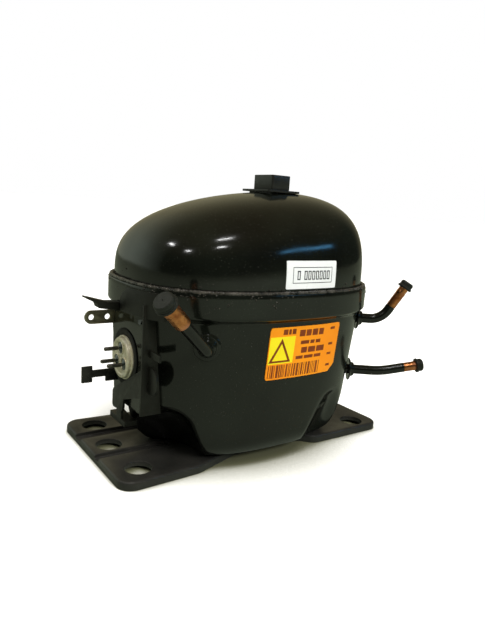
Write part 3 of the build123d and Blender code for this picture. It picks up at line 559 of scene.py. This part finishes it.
def make_cap(name, outer, end, direction, rubber):
    """Moulded rubber cap: domed crown, grooved skirt and a flange."""
    skin, bore = outer + CAP_WALL, outer + 0.05
    flange, flange_top = skin + 0.5, -CAP_GRIP + 1.4
    profile = [(bore, -CAP_GRIP), (flange, -CAP_GRIP), (flange, flange_top), (skin, flange_top),
               (skin, -1.0), (skin - 0.25, -0.8), (skin - 0.25, -0.4), (skin, -0.2),
               (skin - 0.1, 0.9), (skin - 0.8, 1.8), (0.2, 1.8), (0.2, 0.25), (bore, 0.25)]
    shape = lathe_mesh(rounded(profile, 0.45, 4, closed=True), end, direction)
    make_piece(name + "_cap_moulding", shape, rubber, name + "_cap", "black_rubber", (name + "_cap",))


def make_collars(enamel):
    """Pressed and welded collars round the tube roots."""
    bore = TUBE_RADIUS - 0.05
    profile = [(bore, 0.9), (8.0, 0.9), (7.7, 1.7), (6.6, 2.3), (5.8, 2.2), (5.2, 2.9), (4.7, 4.6),
               (TUBE_RADIUS + 0.4, 5.1), (bore, 5.1)]
    profile = rounded(profile, 0.8, 4, closed=True)
    shape = joined([lathe_mesh(profile, spec["root"], spec["normal"]) for spec in TUBES.values()])
    make_piece("tube_root_collars", shape, enamel, "shell", "black_enamel", ("tube_collars",))


# ---------------------------------------------------------------- terminal
def pin_spots():
    """The three contact pins' places across the terminal."""
    turns = [math.radians(a) for a in (90, 210, 330)]
    return [(TERM_Y + PIN_CIRCLE * math.cos(a), TERM_Z + PIN_CIRCLE * math.sin(a)) for a in turns]


OUTWARD = (-1.0, 0.0, 0.0)


def make_terminal(metal, glass, steel, seat):
    """The glass-sealed terminal: rolled cup with eyelets, three glass beads, three pins and a ring of painted
    shade.
    """
    start = (PAD_X, TERM_Y, TERM_Z)
    cup = [(0.3, 0.8), (0.3, 3.0), (8.8, 3.0), (9.6, 3.1), (10.2, 3.5), (11.2, 3.7), (12.2, 3.4), (12.5, 2.6),
           (12.6, 1.5), (13.5, 1.4), (13.5, 0.0), (11.4, -0.2), (11.0, 0.8)]
    parts = [lathe_mesh(rounded(cup, 0.5, 4, closed=True), start, OUTWARD, 96)]
    for y, z in pin_spots():
        eyelet = [(BEAD_RADIUS, 2.4), (4.3, 2.4), (4.3, 3.4), (4.0, 3.7), (BEAD_RADIUS, 3.3)]
        parts.append(lathe_mesh(rounded(eyelet, 0.2, 3, closed=True), (PAD_X, y, z), OUTWARD, 40))
    shape = joined(parts)
    make_piece("terminal_cup", shape, metal, "shell", "terminal_steel", ("terminal_body",))
    beads, pins = [], []
    for y, z in pin_spots():
        bead = [(PIN_NECK_RADIUS - 0.1, 0.8), (BEAD_RADIUS, 0.8), (BEAD_RADIUS, 3.2), (3.0, 3.4), (2.0, 3.8),
                (PIN_NECK_RADIUS - 0.1, 4.3)]
        beads.append(lathe_mesh(bead, (PAD_X, y, z), OUTWARD, 40))
        length = PAD_X - PIN_TIP_X
        pin = [(0.05, length), (0.6, length), (1.0, length - 0.25), (PIN_RADIUS, length - 0.9),
               (PIN_RADIUS, 5.1), (PIN_NECK_RADIUS, 4.9), (PIN_NECK_RADIUS, -9.0), (0.8, -9.5), (0.05, -9.5)]
        pins.append(solid_lathe_mesh(pin, (PAD_X, y, z), OUTWARD, 40))
    shape = joined(beads)
    make_piece("terminal_glass_beads", shape, glass, "shell", "terminal_glass", ("terminal_seals",))
    shape = joined(pins)
    make_piece("terminal_contact_pins", shape, steel, "shell", "pin_steel", ("terminal_pins",))
    # painted shade: seat is a near-black finish, and this thin ring round the cup stands in for the shadow
    # beside the terminal
    rim = [(13.4, 0.1), (17.6, 0.1), (17.9, 0.4), (17.6, 0.8), (16.4, 1.0), (13.4, 0.5)]
    shape = lathe_mesh(rounded(rim, 0.3, 3, closed=True), start, OUTWARD, 96)
    make_piece("terminal_painted_shade_ring", shape, seat)


# ---------------------------------------------------------------- labels
def front_of_bowl(x, z, lift):
    """The point on the labelled side of the bowl at x and z, lifted off the wall."""
    inset = float(bowl_inset(np.array(min(z, RIM_BOTTOM))))
    a, b = SHELL_A - inset + lift, SHELL_B - inset + lift
    return x, -b * (1 - (abs(x - SHELL_X) / a) ** ROUNDNESS) ** (1 / ROUNDNESS), z


def front_of_dome(x, z, lift):
    """The point on the labelled side of the dome at x and z, lifted off the wall."""
    t = max((z - DOME_SPRING_Z) / DOME_HEIGHT, 0.0)
    size, lean = math.sqrt(1 - t ** 3), DOME_LEAN * t ** 2.8
    power = ROUNDNESS + (CROWN_ROUNDNESS - ROUNDNESS) * t * t
    a, b = SHELL_A * size + lift, SHELL_B * size + lift
    return x, -b * (1 - (abs(x - SHELL_X - lean) / a) ** power) ** (1 / power), z


def patch_mesh(surface, x0, x1, low, high, lift, thick, columns=8, rows=3):
    """A thin closed patch between two heights, which may be functions of x."""
    points, faces = [], []
    for height in (lift + thick, lift):
        for i in range(columns + 1):
            x = x0 + (x1 - x0) * i / columns
            bottom = low(x) if callable(low) else low
            top = high(x) if callable(high) else high
            for j in range(rows + 1):
                points.append(surface(x, bottom + (top - bottom) * j / rows, height))
    layer = (columns + 1) * (rows + 1)
    edge = [(i, 0) for i in range(columns)] + [(columns, j) for j in range(rows)]
    edge += [(i, rows) for i in range(columns, 0, -1)] + [(0, j) for j in range(rows, 0, -1)]

    def number(i, j):
        """Index of a point on the patch's outer face."""
        return i * (rows + 1) + j

    for i in range(columns):
        for j in range(rows):
            quad = (number(i, j), number(i + 1, j), number(i + 1, j + 1), number(i, j + 1))
            faces.append(quad)
            faces.append(tuple(layer + index for index in reversed(quad)))
    for k, (i, j) in enumerate(edge):
        a, b = number(i, j), number(*edge[(k + 1) % len(edge)])
        faces.append((b, a, layer + a, layer + b))
    return points, faces


def rounded_ends(x0, x1, low, high, radius, cut=0.0):
    """Lower and upper edges of a patch with round corners and one cut lower corner at x1."""
    def round_off(x):
        gap = min(x - x0, x1 - x)
        return radius - math.sqrt(max(radius ** 2 - max(radius - gap, 0) ** 2, 0))

    def lower(x):
        return low + max(round_off(x), cut - (x1 - x) if cut else 0.0)

    def upper(x):
        return high - round_off(x)

    return lower, upper


FILM_LIFT = 0.05
FILM = 0.38
INK = 0.04
# boxes on the labels: left, right, bottom and top
RATING_BOX = (-18.4, 37.7, 53.8, 85.9)
PATCH_BOX = (-17.9, 0.3, 63.6, 80.2)
BARCODE_LEFT, BARCODE_RIGHT = -17.0, 23.0
BARCODE_LOW, BARCODE_HIGH = 54.8, 62.8
SERIAL_BOX = (-10.8, 28.5, 108.3, 124.6)
SERIAL_FRAME = (-6.1, 24.8, 111.6, 121.0)
FRAME_BAR, FRAME_POST = 0.4, 0.35
TRIANGLE_X = PATCH_BOX[0] + 8.4
GLYPH_LOW, GLYPH_HIGH = 113.6, 118.9
GLYPH_WIDTH = 2.3
GLYPH_PITCH = 3.0
GLYPH_STROKE = 0.65
# rows of boxes on the serial label: left end and count
GLYPH_ROWS = ((-2.9, 1), (2.3, 7))
# each line of printed blocks: bottom, height and the blocks' left and right ends
LABEL_LINES = (
    (81.4, 3.2, ((-9.2, -6.0), (-5.2, -3.4), (-2.6, 0.2))),
    (79.6, 4.0, ((3.2, 7.6), (8.4, 12.4), (13.4, 17.8), (18.8, 22.8))),
    (74.6, 2.2, ((5.0, 11.6), (12.6, 16.0), (17.0, 21.0))),
    (69.0, 3.6, ((6.0, 10.6), (11.6, 17.4), (18.4, 25.0))),
    (65.3, 2.0, ((2.5, 8.0), (9.0, 16.2), (17.2, 23.0))),
    (82.0, 1.6, ((29.0, 33.0),)),
    (71.8, 1.6, ((29.2, 33.0),)),
    (65.4, 1.5, ((29.0, 32.6),)),
    (57.8, 1.5, ((29.4, 33.0),)),
)


def triangle_mesh(middle, reach, low, height, lift):
    """A plain upright triangle printed on the rating label."""
    def slope(x):
        return low + height * (1 - abs(x - middle) / reach)
    return patch_mesh(front_of_bowl, middle - reach, middle + reach, low, slope, lift, INK, 24, 4)


def make_rating_label(film, yellow, ink):
    """Orange film with a yellow patch and generic printed marks."""
    low, high = rounded_ends(*RATING_BOX, 1.6, cut=5.0)
    shape = patch_mesh(front_of_bowl, *RATING_BOX[:2], low, high, FILM_LIFT, FILM, 70, 16)
    make_piece("rating_label_film", shape, film, "shell", "orange_label", ("rating_label",))
    top = FILM_LIFT + FILM
    shape = patch_mesh(front_of_bowl, *PATCH_BOX, top, INK, 16, 6)
    make_piece("rating_label_patch", shape, yellow)
    marks = [triangle_mesh(TRIANGLE_X, 8.0, 64.4, 14.8, top + INK)]
    for bottom, height, blocks in LABEL_LINES:
        for left, right in blocks:
            marks.append(patch_mesh(front_of_bowl, left, right, bottom, bottom + height, top, INK, 6, 1))
    x = BARCODE_LEFT
    while x < BARCODE_RIGHT:
        width = DICE.choice((0.5, 0.8, 1.2, 1.6))
        marks.append(patch_mesh(front_of_bowl, x, x + width, BARCODE_LOW, BARCODE_HIGH, top, INK, 1, 2))
        x += width + DICE.choice((0.5, 0.8, 1.0))
    shape = joined(marks)
    make_piece("rating_label_print", shape, ink)
    shape = triangle_mesh(TRIANGLE_X, 5.6, 65.6, 10.4, top + 2 * INK)
    make_piece("rating_label_triangle", shape, yellow)


def make_serial_label(film, ink):
    """White film with a thin frame and a row of plain blocks."""
    low, high = rounded_ends(*SERIAL_BOX, 0.4)
    shape = patch_mesh(front_of_dome, *SERIAL_BOX[:2], low, high, FILM_LIFT, FILM, 48, 16)
    make_piece("serial_label_film", shape, film, "shell", "white_label", ("serial_label",))
    top, marks = FILM_LIFT + FILM, []
    left, right, low, high = SERIAL_FRAME
    for bottom in (low, high - FRAME_BAR):
        marks.append(patch_mesh(front_of_dome, left, right, bottom, bottom + FRAME_BAR, top, INK, 30, 1))
    for post in (left, right - FRAME_POST):
        marks.append(patch_mesh(front_of_dome, post, post + FRAME_POST, low, high, top, INK, 1, 12))
    for start, count in GLYPH_ROWS:
        for step in range(count):
            marks += glyph_marks(start + GLYPH_PITCH * step, top)
    shape = joined(marks)
    make_piece("serial_label_print", shape, ink)


def glyph_marks(left, lift):
    """A plain box with a light centre, in place of one printed character."""
    right = left + GLYPH_WIDTH
    ends = (left + GLYPH_STROKE, right - GLYPH_STROKE)
    marks = []
    for x in (left, right - GLYPH_STROKE):
        marks.append(patch_mesh(front_of_dome, x, x + GLYPH_STROKE, GLYPH_LOW, GLYPH_HIGH, lift, INK, 2, 4))
    for bottom in (GLYPH_LOW, GLYPH_HIGH - GLYPH_STROKE):
        marks.append(patch_mesh(front_of_dome, *ends, bottom, bottom + GLYPH_STROKE, lift, INK, 2, 1))
    return marks


# ---------------------------------------------------------------- materials
PAINT_IOR = 1.5
SPECK_SCALE = 1700.0
# the wave texture's own band width, at a scale of one
BAND_WIDTH = 0.314


def material_start(name):
    """A new material and a small kit for building its nodes."""
    material = bpy.data.materials.new(name)
    material.use_nodes = True
    return material, material.node_tree, material.node_tree.nodes["Principled BSDF"]


def feed(node, socket, value):
    """Sets a node's input to a constant, or links another node's output to it."""
    if isinstance(value, bpy.types.NodeSocket):
        node.id_data.links.new(value, node.inputs[socket])
    else:
        node.inputs[socket].default_value = value


def place_coordinates(tree):
    """Where a point of the surface lies, in metres."""
    return tree.nodes.new("ShaderNodeTexCoord").outputs["Object"]


def noise_node(tree, where, scale, detail=3.0, rough=0.55):
    """Noise whose scale is in features per metre."""
    node = tree.nodes.new("ShaderNodeTexNoise")
    for socket, value in (("Scale", scale), ("Detail", detail), ("Roughness", rough), ("Vector", where)):
        feed(node, socket, value)
    return node.outputs["Fac"]


def spread(tree, value, low, high, out_low, out_high):
    """Maps a value's range onto another, clamped."""
    node = tree.nodes.new("ShaderNodeMapRange")
    for socket, number in (("From Min", low), ("From Max", high), ("To Min", out_low), ("To Max", out_high)):
        feed(node, socket, number)
    feed(node, "Value", value)
    return node.outputs["Result"]


def blend_colours(tree, factor, first, second):
    """Mixes two colours, each a constant or another node's output."""
    node = tree.nodes.new("ShaderNodeMix")
    node.data_type = "RGBA"
    feed(node, "Factor", factor)
    for socket, colour in (("A", first), ("B", second)):
        target = [s for s in node.inputs if s.name == socket and s.type == "RGBA"][0]
        if isinstance(colour, tuple):
            target.default_value = (*colour, 1.0)
        else:
            tree.links.new(colour, target)
    return [s for s in node.outputs if s.type == "RGBA"][0]


def combine(tree, kind, first, second):
    """A math node on two values."""
    node = tree.nodes.new("ShaderNodeMath")
    node.operation = kind
    feed(node, 0, first)
    feed(node, 1, second)
    return node.outputs["Value"]


def add_bump(tree, shader, height, strength, distance):
    """Relief from a height, distance in millimetres."""
    node = tree.nodes.new("ShaderNodeBump")
    feed(node, "Strength", strength)
    feed(node, "Distance", distance * MM)
    feed(node, "Height", height)
    feed(shader, "Normal", node.outputs["Normal"])


def surface(name, dark, light, rough, metallic=0.0, patch=60.0, grain=900.0, relief=0.15, strength=0.3,
            specks=0.0, speck_colour=(0.25, 0.24, 0.20)):
    """A finish with cloudy colour, uneven gloss, grain relief and optional specks."""
    material, tree, shader = material_start(name)
    where = place_coordinates(tree)
    cloud = spread(tree, noise_node(tree, where, patch), 0.3, 0.7, 0.0, 1.0)
    colour = blend_colours(tree, cloud, dark, light)
    fine = noise_node(tree, where, grain, 4.0)
    gloss = spread(tree, noise_node(tree, where, patch * 2.3, 5.0, 0.65), 0.3, 0.7, rough[0], rough[1])
    if specks:
        dust = noise_node(tree, where, SPECK_SCALE, 2.0)
        mask = spread(tree, dust, 0.72 - 0.1 * specks, 0.76, 0.0, 0.6 * specks)
        colour = blend_colours(tree, mask, colour, speck_colour)
        gloss = combine(tree, "ADD", gloss, mask)
    feed(shader, "Base Color", colour)
    feed(shader, "Roughness", gloss)
    feed(shader, "Metallic", metallic)
    feed(shader, "IOR", PAINT_IOR)
    add_bump(tree, shader, fine, strength, relief)
    return material


def striped(name, first, second, rough, metallic, pitch, axis, relief=0.1, strength=0.5):
    """A finish with fine bands along an axis, as laminations and wound wire have."""
    material, tree, shader = material_start(name)
    where = place_coordinates(tree)
    wave = tree.nodes.new("ShaderNodeTexWave")
    wave.bands_direction = axis
    feed(wave, "Scale", 1 / (pitch * MM) * BAND_WIDTH)
    feed(wave, "Distortion", 0.6)
    feed(wave, "Detail Scale", 2.0)
    feed(wave, "Vector", where)
    worn = noise_node(tree, where, 140.0, 4.0)
    bands = combine(tree, "MULTIPLY", wave.outputs["Fac"], spread(tree, worn, 0.3, 0.7, 0.5, 1.0))
    feed(shader, "Base Color", blend_colours(tree, bands, first, second))
    feed(shader, "Roughness", spread(tree, worn, 0.3, 0.7, rough[0], rough[1]))
    feed(shader, "Metallic", metallic)
    add_bump(tree, shader, bands, strength, relief)
    return material


def copper_finish():
    """Bare copper: bright, with tarnish, a pinkish heat tint and a fine grain."""
    material, tree, shader = material_start("bare_copper")
    where = place_coordinates(tree)
    tarnish = spread(tree, noise_node(tree, where, 170.0, 5.0, 0.6), 0.42, 0.68, 0.0, 1.0)
    bright = blend_colours(tree, tarnish, (0.86, 0.36, 0.13), (0.42, 0.13, 0.045))
    tint = spread(tree, noise_node(tree, where, 75.0, 2.0), 0.5, 0.66, 0.0, 0.7)
    feed(shader, "Base Color", blend_colours(tree, tint, bright, (0.80, 0.33, 0.22)))
    feed(shader, "Roughness", spread(tree, tarnish, 0.0, 1.0, 0.24, 0.46))
    feed(shader, "Metallic", 1.0)
    add_bump(tree, shader, noise_node(tree, where, 1300.0, 3.0), 0.35, 0.12)
    return material


def glass_finish():
    """Dark fused glass with faint swirls."""
    material, tree, shader = material_start("fused_glass")
    where = place_coordinates(tree)
    swirl = noise_node(tree, where, 500.0, 3.0)
    feed(shader, "Base Color", blend_colours(tree, swirl, (0.010, 0.014, 0.012), (0.035, 0.045, 0.038)))
    feed(shader, "Roughness", spread(tree, swirl, 0.3, 0.7, 0.04, 0.14))
    feed(shader, "Coat Weight", 0.6)
    feed(shader, "Coat Roughness", 0.05)
    add_bump(tree, shader, swirl, 0.2, 0.1)
    return material


def printed(name, dark, light, rough, patch=200.0):
    """A thin even layer of printing ink."""
    return surface(name, dark, light, rough, patch=patch, grain=1500.0, relief=0.02, strength=0.1)


def make_materials():
    """All finishes by name."""
    return {
        "enamel": surface("black_enamel_gloss", (0.0026, 0.0029, 0.0022), (0.0056, 0.0070, 0.0048),
            (0.10, 0.18), patch=28.0, grain=420.0, relief=0.10, strength=0.12, specks=0.35),
        "plate": surface("black_plate_paint", (0.010, 0.010, 0.009), (0.022, 0.021, 0.018), (0.30, 0.46),
            patch=45.0, grain=700.0, relief=0.12, strength=0.3, specks=0.6),
        "weld": surface("weld_scale", (0.012, 0.012, 0.010), (0.11, 0.10, 0.085), (0.10, 0.30), metallic=0.45,
            patch=240.0, grain=1500.0, relief=0.35, strength=0.6, specks=0.4),
        "bracket": surface("bracket_paint", (0.003, 0.003, 0.002), (0.006, 0.006, 0.004), (0.40, 0.56),
            patch=70.0, grain=900.0, relief=0.10, strength=0.25, specks=0.3),
        # painted shade: near-black rough paint for the ring round the terminal that stands in for its shadow
        "shade": surface("painted_shade_ring_paint", (0.002, 0.002, 0.002), (0.004, 0.004, 0.003), (0.60, 0.75),
            patch=70.0, grain=900.0, relief=0.10, strength=0.25),
        "lug": surface("lug_steel", (0.20, 0.18, 0.12), (0.34, 0.31, 0.22), (0.30, 0.50), metallic=0.9,
            patch=150.0, relief=0.08, specks=0.6, speck_colour=(0.05, 0.045, 0.035)),
        "dark_clip": surface("dark_pressed_clip", (0.008, 0.008, 0.007), (0.018, 0.018, 0.015), (0.26, 0.42),
            patch=80.0, grain=1100.0, relief=0.08, specks=0.3),
        "terminal": surface("tinned_cup", (0.62, 0.55, 0.36), (0.90, 0.86, 0.70), (0.28, 0.46), metallic=0.35,
            patch=330.0, grain=1400.0, relief=0.25, strength=0.5, specks=0.8,
            speck_colour=(0.10, 0.085, 0.05)),
        "glass": glass_finish(),
        "pin": surface("pin_steel_dull", (0.10, 0.095, 0.08), (0.22, 0.21, 0.18), (0.28, 0.44), metallic=1.0,
            patch=300.0, grain=2500.0, relief=0.04),
        "copper": copper_finish(),
        "rubber": surface("moulded_rubber", (0.006, 0.007, 0.005), (0.011, 0.012, 0.009), (0.44, 0.60),
            patch=220.0, grain=2200.0, relief=0.08, strength=0.35, specks=0.4),
        "orange": surface("orange_film", (0.90, 0.25, 0.003), (0.98, 0.33, 0.006), (0.42, 0.54),
            patch=22.0, grain=1500.0, relief=0.03, strength=0.15, specks=0.15,
            speck_colour=(0.45, 0.12, 0.02)),
        "white": surface("white_film", (0.78, 0.79, 0.78), (0.86, 0.87, 0.86), (0.25, 0.36), patch=40.0,
            grain=1500.0, relief=0.03, strength=0.12, specks=0.1, speck_colour=(0.4, 0.4, 0.38)),
        "yellow": printed("yellow_print", (0.90, 0.72, 0.008), (0.97, 0.82, 0.015), (0.42, 0.54), 60.0),
        "brown_ink": printed("brown_print", (0.16, 0.028, 0.004), (0.24, 0.045, 0.006), (0.40, 0.52)),
        "ink": printed("black_print", (0.010, 0.010, 0.012), (0.020, 0.018, 0.018), (0.30, 0.42)),
        "steel": surface("plain_steel_bright", (0.30, 0.30, 0.29), (0.50, 0.50, 0.48), (0.24, 0.42),
            metallic=1.0, patch=90.0, grain=1300.0, relief=0.05),
        "spring": surface("oiled_spring_steel", (0.13, 0.12, 0.11), (0.27, 0.25, 0.22), (0.22, 0.38),
            metallic=1.0, patch=160.0, grain=2000.0, relief=0.05),
        "iron": surface("cast_iron", (0.10, 0.10, 0.10), (0.19, 0.18, 0.17), (0.45, 0.66), metallic=0.85,
            patch=120.0, grain=900.0, relief=0.45, strength=0.6, specks=0.5),
        "aluminium": surface("cast_aluminium", (0.50, 0.51, 0.52), (0.66, 0.66, 0.66), (0.36, 0.54),
            metallic=1.0, patch=110.0, grain=1000.0, relief=0.25, strength=0.5),
        "lamination": striped("stacked_laminations", (0.07, 0.07, 0.075), (0.20, 0.20, 0.21), (0.36, 0.54),
            0.9, 0.5, "Z"),
        "winding": striped("enamelled_wire", (0.28, 0.075, 0.02), (0.62, 0.23, 0.07), (0.22, 0.38),
            0.8, 0.7, "Z", 0.3),
        "gasket": surface("fibre_gasket", (0.055, 0.060, 0.055), (0.11, 0.115, 0.10), (0.72, 0.88),
            patch=200.0, grain=1600.0, relief=0.15, strength=0.5),
        "plastic": surface("white_moulding", (0.66, 0.65, 0.60), (0.76, 0.75, 0.70), (0.36, 0.50), patch=80.0,
            grain=1500.0, relief=0.05, strength=0.25),
        "lead": surface("lead_sleeve", (0.30, 0.02, 0.015), (0.42, 0.035, 0.025), (0.38, 0.52), patch=160.0,
            grain=2600.0, relief=0.08, strength=0.4),
    }


# CAD nodes that show as they are, by finish
INNER_NODES = {
    "steel": ("spring_studs", "spring_holders", "stator_bolts", "oil_pickup", "crank_pin", "wrist_pin",
              "piston", "thrust_race_lower", "thrust_race_upper", "thrust_balls", "valve_plate",
              "discharge_stop", "head_bolts", "discharge_muffler"),
    "spring": ("suspension_springs", "suction_reed", "discharge_reed"),
    "lamination": ("stator_core", "rotor_core"),
    "winding": ("stator_windings",),
    "aluminium": ("rotor_cage", "connecting_rod", "cylinder_head"),
    "iron": ("crankshaft", "cylinder_block"),
    "plastic": ("thrust_cage", "suction_muffler_lower", "suction_muffler_upper", "terminal_plug"),
    "gasket": ("cylinder_gasket", "head_gasket"),
    "copper": ("shock_loop",),
    "lead": ("lead_wires",),
}


def finish_inner_nodes(finishes):
    """Gives each carried-over node its material."""
    for finish, nodes in INNER_NODES.items():
        for node in nodes:
            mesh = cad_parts[node].data
            for index in range(len(mesh.materials)):
                mesh.materials[index] = finishes[finish]
            if not mesh.materials:
                mesh.materials.append(finishes[finish])


# ---------------------------------------------------------------- studio
# the camera: lengths in millimetres
CAMERA_SPOT = (-214.2, -310.5, 153.4)
CAMERA_AZIMUTH = math.radians(35.25)
CAMERA_DIP = math.radians(10.82)
CAMERA_ROLL = math.radians(3.9)
LENS = 32.3885
SENSOR = 36.0

# the floor: lengths in metres; SHADE_REACH and SHADE_COLOUR set its painted shadow
FLOOR_GAP = 0.0002
FLOOR_REACH = 30.0
SHADE_REACH = 0.16
SHADE_COLOUR = (0.12, 0.12, 0.07)
FLOOR_GLOW = 0.55

WHITE = (1.0, 1.0, 1.0)
CROWN = (0.0, 0.0, 0.12)
# small bright lamps aimed at the crown: name, spot and size in metres, power and colour
LAMPS = (
    ("lamp_left", (-1.14, -0.43, 1.25), (0.16, 0.05), 1.3, WHITE),
    ("lamp_back_left", (-1.04, 0.39, 1.33), (0.20, 0.06), 1.8, WHITE),
    ("lamp_overhead", (-0.19, -0.58, 1.64), (0.30, 0.06), 2.2, WHITE),
    ("lamp_front", (-0.39, -0.97, 1.39), (0.20, 0.05), 1.4, WHITE),
    ("right_strip", (1.05, -1.06, 0.70), (0.75, 0.10), 1.1, (0.16, 0.55, 1.0)),
)


def make_camera():
    """The camera: its spot, where it points, its roll and its lens."""
    forward = Vector((math.sin(CAMERA_AZIMUTH) * math.cos(CAMERA_DIP),
                      math.cos(CAMERA_AZIMUTH) * math.cos(CAMERA_DIP),
                      -math.sin(CAMERA_DIP)))
    right = Vector((math.cos(CAMERA_AZIMUTH), -math.sin(CAMERA_AZIMUTH), 0))
    up = right.cross(forward)
    level_right = right * math.cos(CAMERA_ROLL) + up * math.sin(CAMERA_ROLL)
    level_up = up * math.cos(CAMERA_ROLL) - right * math.sin(CAMERA_ROLL)
    data = bpy.data.cameras.new("camera")
    data.sensor_width = SENSOR
    data.sensor_fit = "AUTO"
    data.lens = LENS
    data.clip_start = 0.01
    data.clip_end = 50.0
    camera = bpy.data.objects.new("camera", data)
    rotation = Matrix((level_right, level_up, -forward)).transposed().to_4x4()
    camera.matrix_world = Matrix.Translation(Vector(CAMERA_SPOT) * MM) @ rotation
    bpy.context.scene.collection.objects.link(camera)
    bpy.context.scene.camera = camera


def area_light(name, spot, target, size, power, colour=WHITE):
    """A soft rectangular lamp at a spot, in metres, facing a target."""
    data = bpy.data.lights.new(name, "AREA")
    data.shape = "RECTANGLE"
    data.size, data.size_y = size
    data.energy = power
    data.color = colour
    lamp = bpy.data.objects.new(name, data)
    lamp.location = spot
    lamp.rotation_euler = (Vector(target) - Vector(spot)).to_track_quat("-Z", "Y").to_euler()
    bpy.context.scene.collection.objects.link(lamp)
    return lamp


def make_world():
    """White to the eye; reflections see a dark room in front, pale walls behind and a brown ceiling."""
    world = bpy.data.worlds.new("studio")
    world.use_nodes = True
    tree = world.node_tree
    path = tree.nodes.new("ShaderNodeLightPath")
    apart = tree.nodes.new("ShaderNodeSeparateXYZ")
    feed(apart, "Vector", tree.nodes.new("ShaderNodeTexCoord").outputs["Generated"])
    left = spread(tree, apart.outputs["X"], -0.45, 0.25, 1.0, 0.0)
    behind = spread(tree, apart.outputs["Y"], 0.15, 0.75, 0.0, 1.0)
    overhead = spread(tree, apart.outputs["Z"], 0.40, 0.90, 0.0, 1.0)
    back_wall = blend_colours(tree, left, (0.34, 0.31, 0.19), (0.60, 0.68, 0.56))
    walls = blend_colours(tree, behind, (0.020, 0.024, 0.018), back_wall)
    room = blend_colours(tree, overhead, walls, (0.13, 0.10, 0.05))
    colour = blend_colours(tree, path.outputs["Is Camera Ray"], room, WHITE)
    feed(tree.nodes["Background"], "Color", colour)
    bpy.context.scene.world = world


def floor_finish():
    """Pale floor that keeps its brightness into the distance, with soft olive shadows painted into its colour
    and glow.
    """
    material = surface("pale_floor", (0.80, 0.80, 0.79), (0.82, 0.82, 0.81), (0.6, 0.7), patch=6.0,
                       grain=300.0, relief=0.02, strength=0.05)
    tree = material.node_tree
    shader = tree.nodes["Principled BSDF"]
    seen = tree.nodes.new("ShaderNodeLightPath").outputs["Is Camera Ray"]
    pale = shader.inputs["Base Color"].links[0].from_socket
    # painted shadow: ambient occlusion near the object darkens the floor's colour to olive and dims its glow
    nearby = tree.nodes.new("ShaderNodeAmbientOcclusion")
    feed(nearby, "Distance", SHADE_REACH)
    open_sky = spread(tree, nearby.outputs["AO"], 0.36, 0.76, 0.0, 1.0)
    shaded = blend_colours(tree, open_sky, SHADE_COLOUR, pale)
    # to the camera the floor is pale, to reflections and bounced light a dim olive
    feed(shader, "Base Color", blend_colours(tree, seen, (0.22, 0.25, 0.19), shaded))
    glow = combine(tree, "MULTIPLY", spread(tree, seen, 0.0, 1.0, 0.0, FLOOR_GLOW), open_sky)
    # painted shadow: the glow turns olive where the floor is shaded
    tint = blend_colours(tree, open_sky, (0.70, 0.68, 0.45), (1.0, 1.0, 0.99))
    feed(shader, "Emission Color", tint)
    feed(shader, "Emission Strength", glow)
    feed(shader, "Specular IOR Level", 0.0)
    return material


def make_floor():
    """A large pale floor under the plate's lips."""
    level = cad_box[0][2] - FLOOR_GAP
    corners = [(x * FLOOR_REACH, y * FLOOR_REACH, level) for x, y in ((-1, -1), (1, -1), (1, 1), (-1, 1))]
    mesh = bpy.data.meshes.new("floor")
    mesh.from_pydata(corners, [], [(0, 1, 2, 3)])
    mesh.materials.append(floor_finish())
    floor = bpy.data.objects.new("floor", mesh)
    bpy.context.scene.collection.objects.link(floor)


def sun_light(name, direction, strength, spread_degrees, colour):
    """A broad even light that shines along a direction and has no mirror image."""
    data = bpy.data.lights.new(name, "SUN")
    data.energy = strength
    data.angle = math.radians(spread_degrees)
    data.color = colour
    lamp = bpy.data.objects.new(name, data)
    lamp.rotation_euler = Vector(direction).to_track_quat("-Z", "Y").to_euler()
    lamp.visible_glossy = False
    bpy.context.scene.collection.objects.link(lamp)


def make_studio():
    """Soft studio light: a broad overhead light, a fill from the front and small bright lamps."""
    bpy.context.scene.view_settings.view_transform = "Standard"
    make_world()
    make_floor()
    sun_light("overhead", (0.10, 0.25, -1.0), 2.2, 60.0, (1.0, 0.98, 0.93))
    for name, spot, size, power, colour in LAMPS:
        area_light(name, spot, CROWN, size, power, colour)
    fill = area_light("front_fill", (0.3, -1.5, 1.0), (0.0, 0.0, 0.05), (0.5, 0.4), 26.0)
    fill.visible_glossy = False


# ---------------------------------------------------------------- build
make_camera()
make_studio()
finishes = make_materials()
make_lower_bowl(finishes["enamel"])
make_dome(finishes["enamel"])
make_weld(finishes["weld"])
make_spatter(finishes["weld"])
make_tubes(finishes["enamel"], finishes["copper"], finishes["rubber"])
make_collars(finishes["enamel"])
make_terminal(finishes["terminal"], finishes["glass"], finishes["pin"], finishes["shade"])
make_rating_label(finishes["orange"], finishes["yellow"], finishes["brown_ink"])
make_serial_label(finishes["white"], finishes["ink"])
for node, name, finish, width, slot in SOFTENED_NODES:
    softened(node, name, finishes[finish], width, slot)
finish_inner_nodes(finishes)
